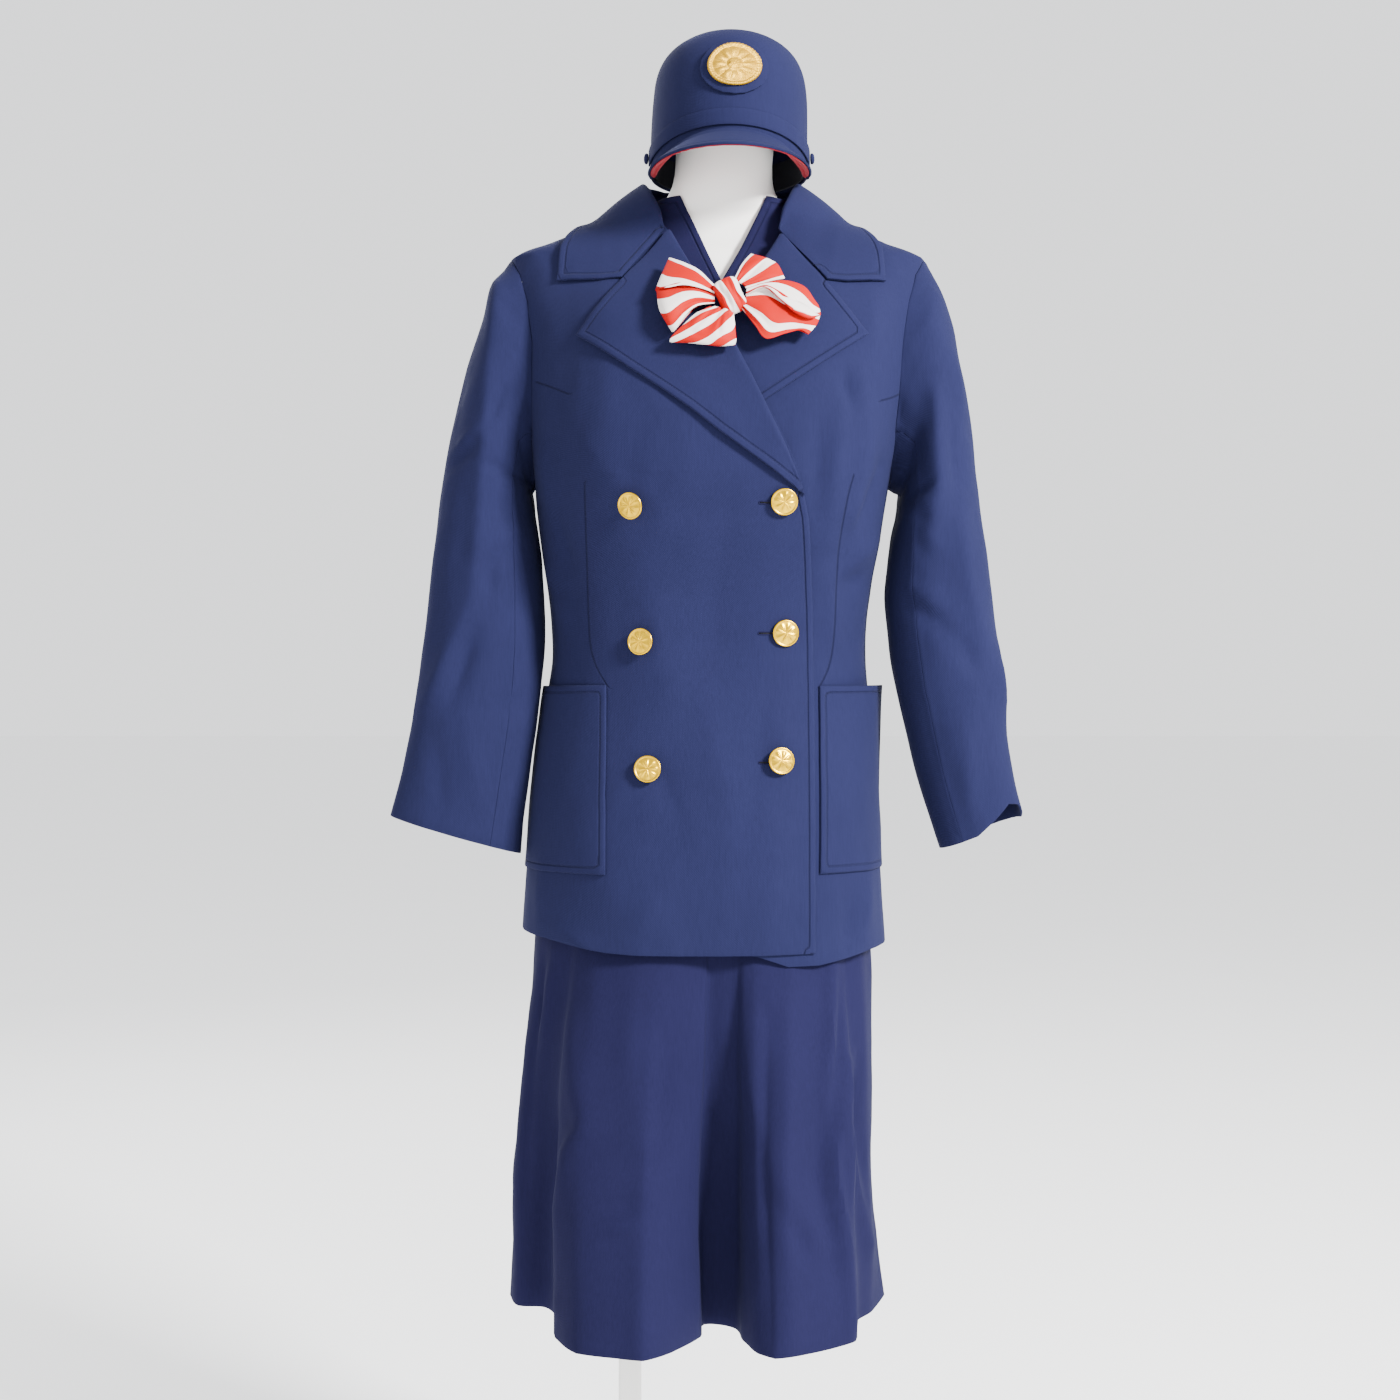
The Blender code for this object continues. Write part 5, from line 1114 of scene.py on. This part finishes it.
def makeButtonholes():
    # a thread-bound slit: a small ring drawn out sideways, lying on the front, with a black sheet inside it
    # as the slit's painted shadow
    radius, thick, ringSides = buttonholes["radius"], buttonholes["thick"], buttonholes["ringSides"]
    turns = [2 * math.pi * i / ringSides for i in range(ringSides + 1)]
    ring = [(radius + thick * math.cos(a), thick * math.sin(a)) for a in turns]
    disc = [(0.0, 0.0), (radius, 0.0)]
    stitches, slitShadows = bmesh.new(), bmesh.new()
    for height in buttonholes["heights"]:
        for target, profile, lift in ((stitches, ring, "stitchLift"), (slitShadows, disc, "slitShadowLift")):
            bm = turned(profile, buttonholes["sides"])
            for vertex in bm.verts:
                sideways, across, up = vertex.co / mm
                sideways += math.copysign(buttonholes["half"], sideways) if abs(sideways) > 0.01 else 0.0
                place, normal = onFront(buttonholes["x"] + sideways * mm, height + across * mm)
                vertex.co = place + normal * (up + buttonholes[lift]) * mm
            held = bpy.data.meshes.new("held")
            bm.to_mesh(held)
            target.from_mesh(held)
            bpy.data.meshes.remove(held)
            bm.free()
    for bm in (stitches, slitShadows):
        bmesh.ops.recalc_face_normals(bm, faces=bm.faces)
    if sum(face.normal.y for face in slitShadows.faces) > 0:
        bmesh.ops.reverse_faces(slitShadows, faces=slitShadows.faces)
    finishPiece(stitches, "buttonhole_stitches", "navyDress")
    # the black sheet in each slit is painted shadow
    finishPiece(slitShadows, "buttonhole_slit_shadows", "blackBand", wall=buttonholes["slitShadowWall"])


# The cap badge: an oval rosette of gilt thread, with a rope border. Radii are shares of the oval's,
# and heights are in millimetres.

badge = {
    "rings": 26, "sides": 176, "wall": 1.2 * mm, "ground": 1.5,
    "rope": {"from": 0.84, "middle": 0.92, "half": 0.08, "height": 1.5, "twist": 0.35, "turns": 44,
             "lean": 22},
    "petals": {"count": 12, "from": 0.3, "long": 0.52, "height": 1.15, "blunt": 0.7},
    "heart": {"radius": 0.27, "height": 1.1, "lobes": 9, "uneven": 0.12},
    "threads": {"height": 0.07, "rings": 70, "wander": 3},
}


def dome(share):
    return max(0.0, 1 - share**2) ** 0.5


def badgeHeight(radius, angle):
    height, rope, petals = badge["ground"], badge["rope"], badge["petals"]
    heart, threads = badge["heart"], badge["threads"]
    if radius > rope["from"]:
        twist = rope["twist"] * math.sin(rope["turns"] * angle + rope["lean"] * radius)
        height += dome((radius - rope["middle"]) / rope["half"]) * (rope["height"] + twist)
    reach = math.sin(math.pi * min(max((radius - petals["from"]) / petals["long"], 0), 1))
    height += petals["height"] * reach * abs(math.cos(petals["count"] / 2 * angle)) ** petals["blunt"]
    uneven = 1 + heart["uneven"] * math.cos(heart["lobes"] * angle)
    height += heart["height"] * uneven * dome(radius / heart["radius"])
    wander = threads["wander"] * math.cos(petals["count"] * angle)
    return height + threads["height"] * math.sin(threads["rings"] * radius + wander)


def makeBadge():
    low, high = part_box("cap_badge")
    centre = (low + high) / 2
    wide, tall = (high.x - low.x) / 2, (high.z - low.z) / 2
    bm = turned([(i / badge["rings"], 0.0) for i in range(badge["rings"] + 1)], badge["sides"], unit=1.0)
    for vertex in bm.verts:
        height = badgeHeight(math.hypot(vertex.co.x, vertex.co.y), math.atan2(vertex.co.y, vertex.co.x))
        x, z = centre.x + vertex.co.x * wide, centre.z + vertex.co.y * tall
        place, normal = onFront(x, z, "cap_patch_cloth")
        vertex.co = place + normal * height * mm
    if sum(face.normal.y * face.calc_area() for face in bm.faces) > 0:
        bmesh.ops.reverse_faces(bm, faces=bm.faces)
    finishPiece(bm, "cap_badge_rosette", "giltThread", ["cap_badge"], wall=badge["wall"])


for buttonName, buttonLean in buttons.items():
    makeButton(buttonName, buttonLean)
makeButtonholes()
makeCapButton("cap_button_left")
makeCapButton("cap_button_right")
makeBadge()
report("buttons and badge")


# The stand and the form. The plate's upper edge is a row of (inward, down) places from its corner.

stand = {"plateSides": 160, "tubeSides": 64, "plateFoot": 1 * mm, "collarGap": 0.6 * mm,
         "collarEdge": 1.5 * mm, "plateEdge": [(0, 3 * mm), (1 * mm, 1 * mm), (4 * mm, 0)]}
form = {"cuts": 3, "softEdge": 1.5 * mm}


def makeTurned(name, node, profile, sides, x=0.0):
    bm = turned(profile, sides, unit=1.0)
    bmesh.ops.translate(bm, vec=Vector((x, 0, 0)), verts=bm.verts)
    finishPiece(bm, name, "stand", [node])


def makeStand():
    low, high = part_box("base")
    radius, top, edge = high.x, high.z, stand["plateFoot"]
    rim = [(radius - inward, top - down) for inward, down in stand["plateEdge"]]
    profile = [(0, 0), (radius - edge, 0), (radius, edge), *rim, (0, top)]
    makeTurned("base_plate", "base", profile, stand["plateSides"])
    low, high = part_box("pole")
    radius = (high.x - low.x) / 2
    profile = [(0, low.z), (radius, low.z), (radius, high.z), (0, high.z)]
    makeTurned("pole_tube", "pole", profile, stand["tubeSides"], (low.x + high.x) / 2)
    low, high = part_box("pole_collar")
    middle = (low.x + high.x) / 2
    outer, inner, edge = (high.x - low.x) / 2, radius + stand["collarGap"], stand["collarEdge"]
    profile = [(inner, low.z), (outer - edge, low.z), (outer, low.z + edge), (outer, high.z), (inner, high.z)]
    makeTurned("pole_collar_ring", "pole_collar", profile + profile[:1], stand["tubeSides"], middle)


def makeForm():
    bm = bmesh.new()
    bm.from_mesh(frame["nodes"]["form"].data)
    bmesh.ops.remove_doubles(bm, verts=bm.verts, dist=0.002 * mm)
    low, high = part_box("form")
    heights = {face: face.calc_center_median().z for face in bm.faces}
    ends = [face for face, z in heights.items() if min(z - low.z, high.z - z) < 1 * mm]
    bmesh.ops.delete(bm, geom=ends, context="FACES")
    joinToQuads(bm)
    refine(bm, form["cuts"])
    bmesh.ops.holes_fill(bm, edges=[e for e in bm.edges if e.is_boundary], sides=0)
    bmesh.ops.recalc_face_normals(bm, faces=bm.faces)
    finishPiece(bm, "form_shell", "form", ["form"], softEdge=form["softEdge"])


makeStand()
makeForm()
report("stand and form")


# Any frame node that still shows takes its slot's finish
finishOfSlot = {"navy_suiting": "navySuiting", "navy_dress": "navyDress", "striped_scarf": "scarf",
                "red_lining": "redLining", "black_band": "blackBand", "gold_metal": "giltThread",
                "form_white": "form", "stand_white": "stand"}
for subpart in frame["record"]["subparts"]:
    shown = frame["nodes"][subpart["node"]]
    if not shown.hide_render:
        shown.data.materials.clear()
        shown.data.materials.append(materials[finishOfSlot[subpart["material_slot"]]])


# The studio. A light's row is its place, its size in metres and its power in watts.

studio = {
    "floor": 90.0, "floorRoughness": 0.9, "floorColours": ((0.94, 0.94, 0.94), (0.96, 0.96, 0.96)),
    "worldColour": (0.93, 0.94, 0.96, 1), "worldStrength": 1.75, "aim": Vector((0, 0, 1.0)),
    "lights": {"keyLight": ((2.5, -2.1, 2.7), 0.7, 560.0), "fillLight": ((-2.6, -1.6, 1.4), 1.6, 22.0),
               "backLight": ((-1.2, 2.4, 2.6), 1.6, 60.0)},
    "cameraDistance": 1.8, "cameraHeight": 0.905, "lens": 47.96,
}


def addToScene(name, data):
    made = bpy.data.objects.new(name, data)
    bpy.context.scene.collection.objects.link(made)
    return made


def makeFloor():
    bm = bmesh.new()
    bmesh.ops.create_grid(bm, x_segments=1, y_segments=1, size=studio["floor"] / 2)
    mesh = bpy.data.meshes.new("floor")
    bm.to_mesh(mesh)
    bm.free()
    made, tree, shader, place = bareMaterial("paleFloor", studio["floorRoughness"])
    colour = blendColour(tree, noiseAt(tree, place, 3.0), *studio["floorColours"])
    tree.links.new(colour, shader.inputs["Base Color"])
    mesh.materials.append(made)
    addToScene("floor", mesh)


def makeLights():
    world = bpy.data.worlds.new("studioWorld")
    bpy.context.scene.world = world
    world.use_nodes = True
    background = world.node_tree.nodes["Background"]
    background.inputs["Color"].default_value = studio["worldColour"]
    background.inputs["Strength"].default_value = studio["worldStrength"]
    for name, (place, size, power) in studio["lights"].items():
        data = bpy.data.lights.new(name, "AREA")
        data.energy = power
        data.size = size
        light = addToScene(name, data)
        light.location = place
        light.rotation_euler = (studio["aim"] - Vector(place)).to_track_quat("-Z", "Y").to_euler()


def makeCamera():
    data = bpy.data.cameras.new("camera")
    data.lens = studio["lens"]
    data.sensor_width = 36.0
    camera = addToScene("camera", data)
    camera.location = (0, -studio["cameraDistance"], studio["cameraHeight"])
    camera.rotation_euler = (math.pi / 2, 0, 0)
    bpy.context.scene.camera = camera


makeFloor()
makeLights()
makeCamera()
report("studio")
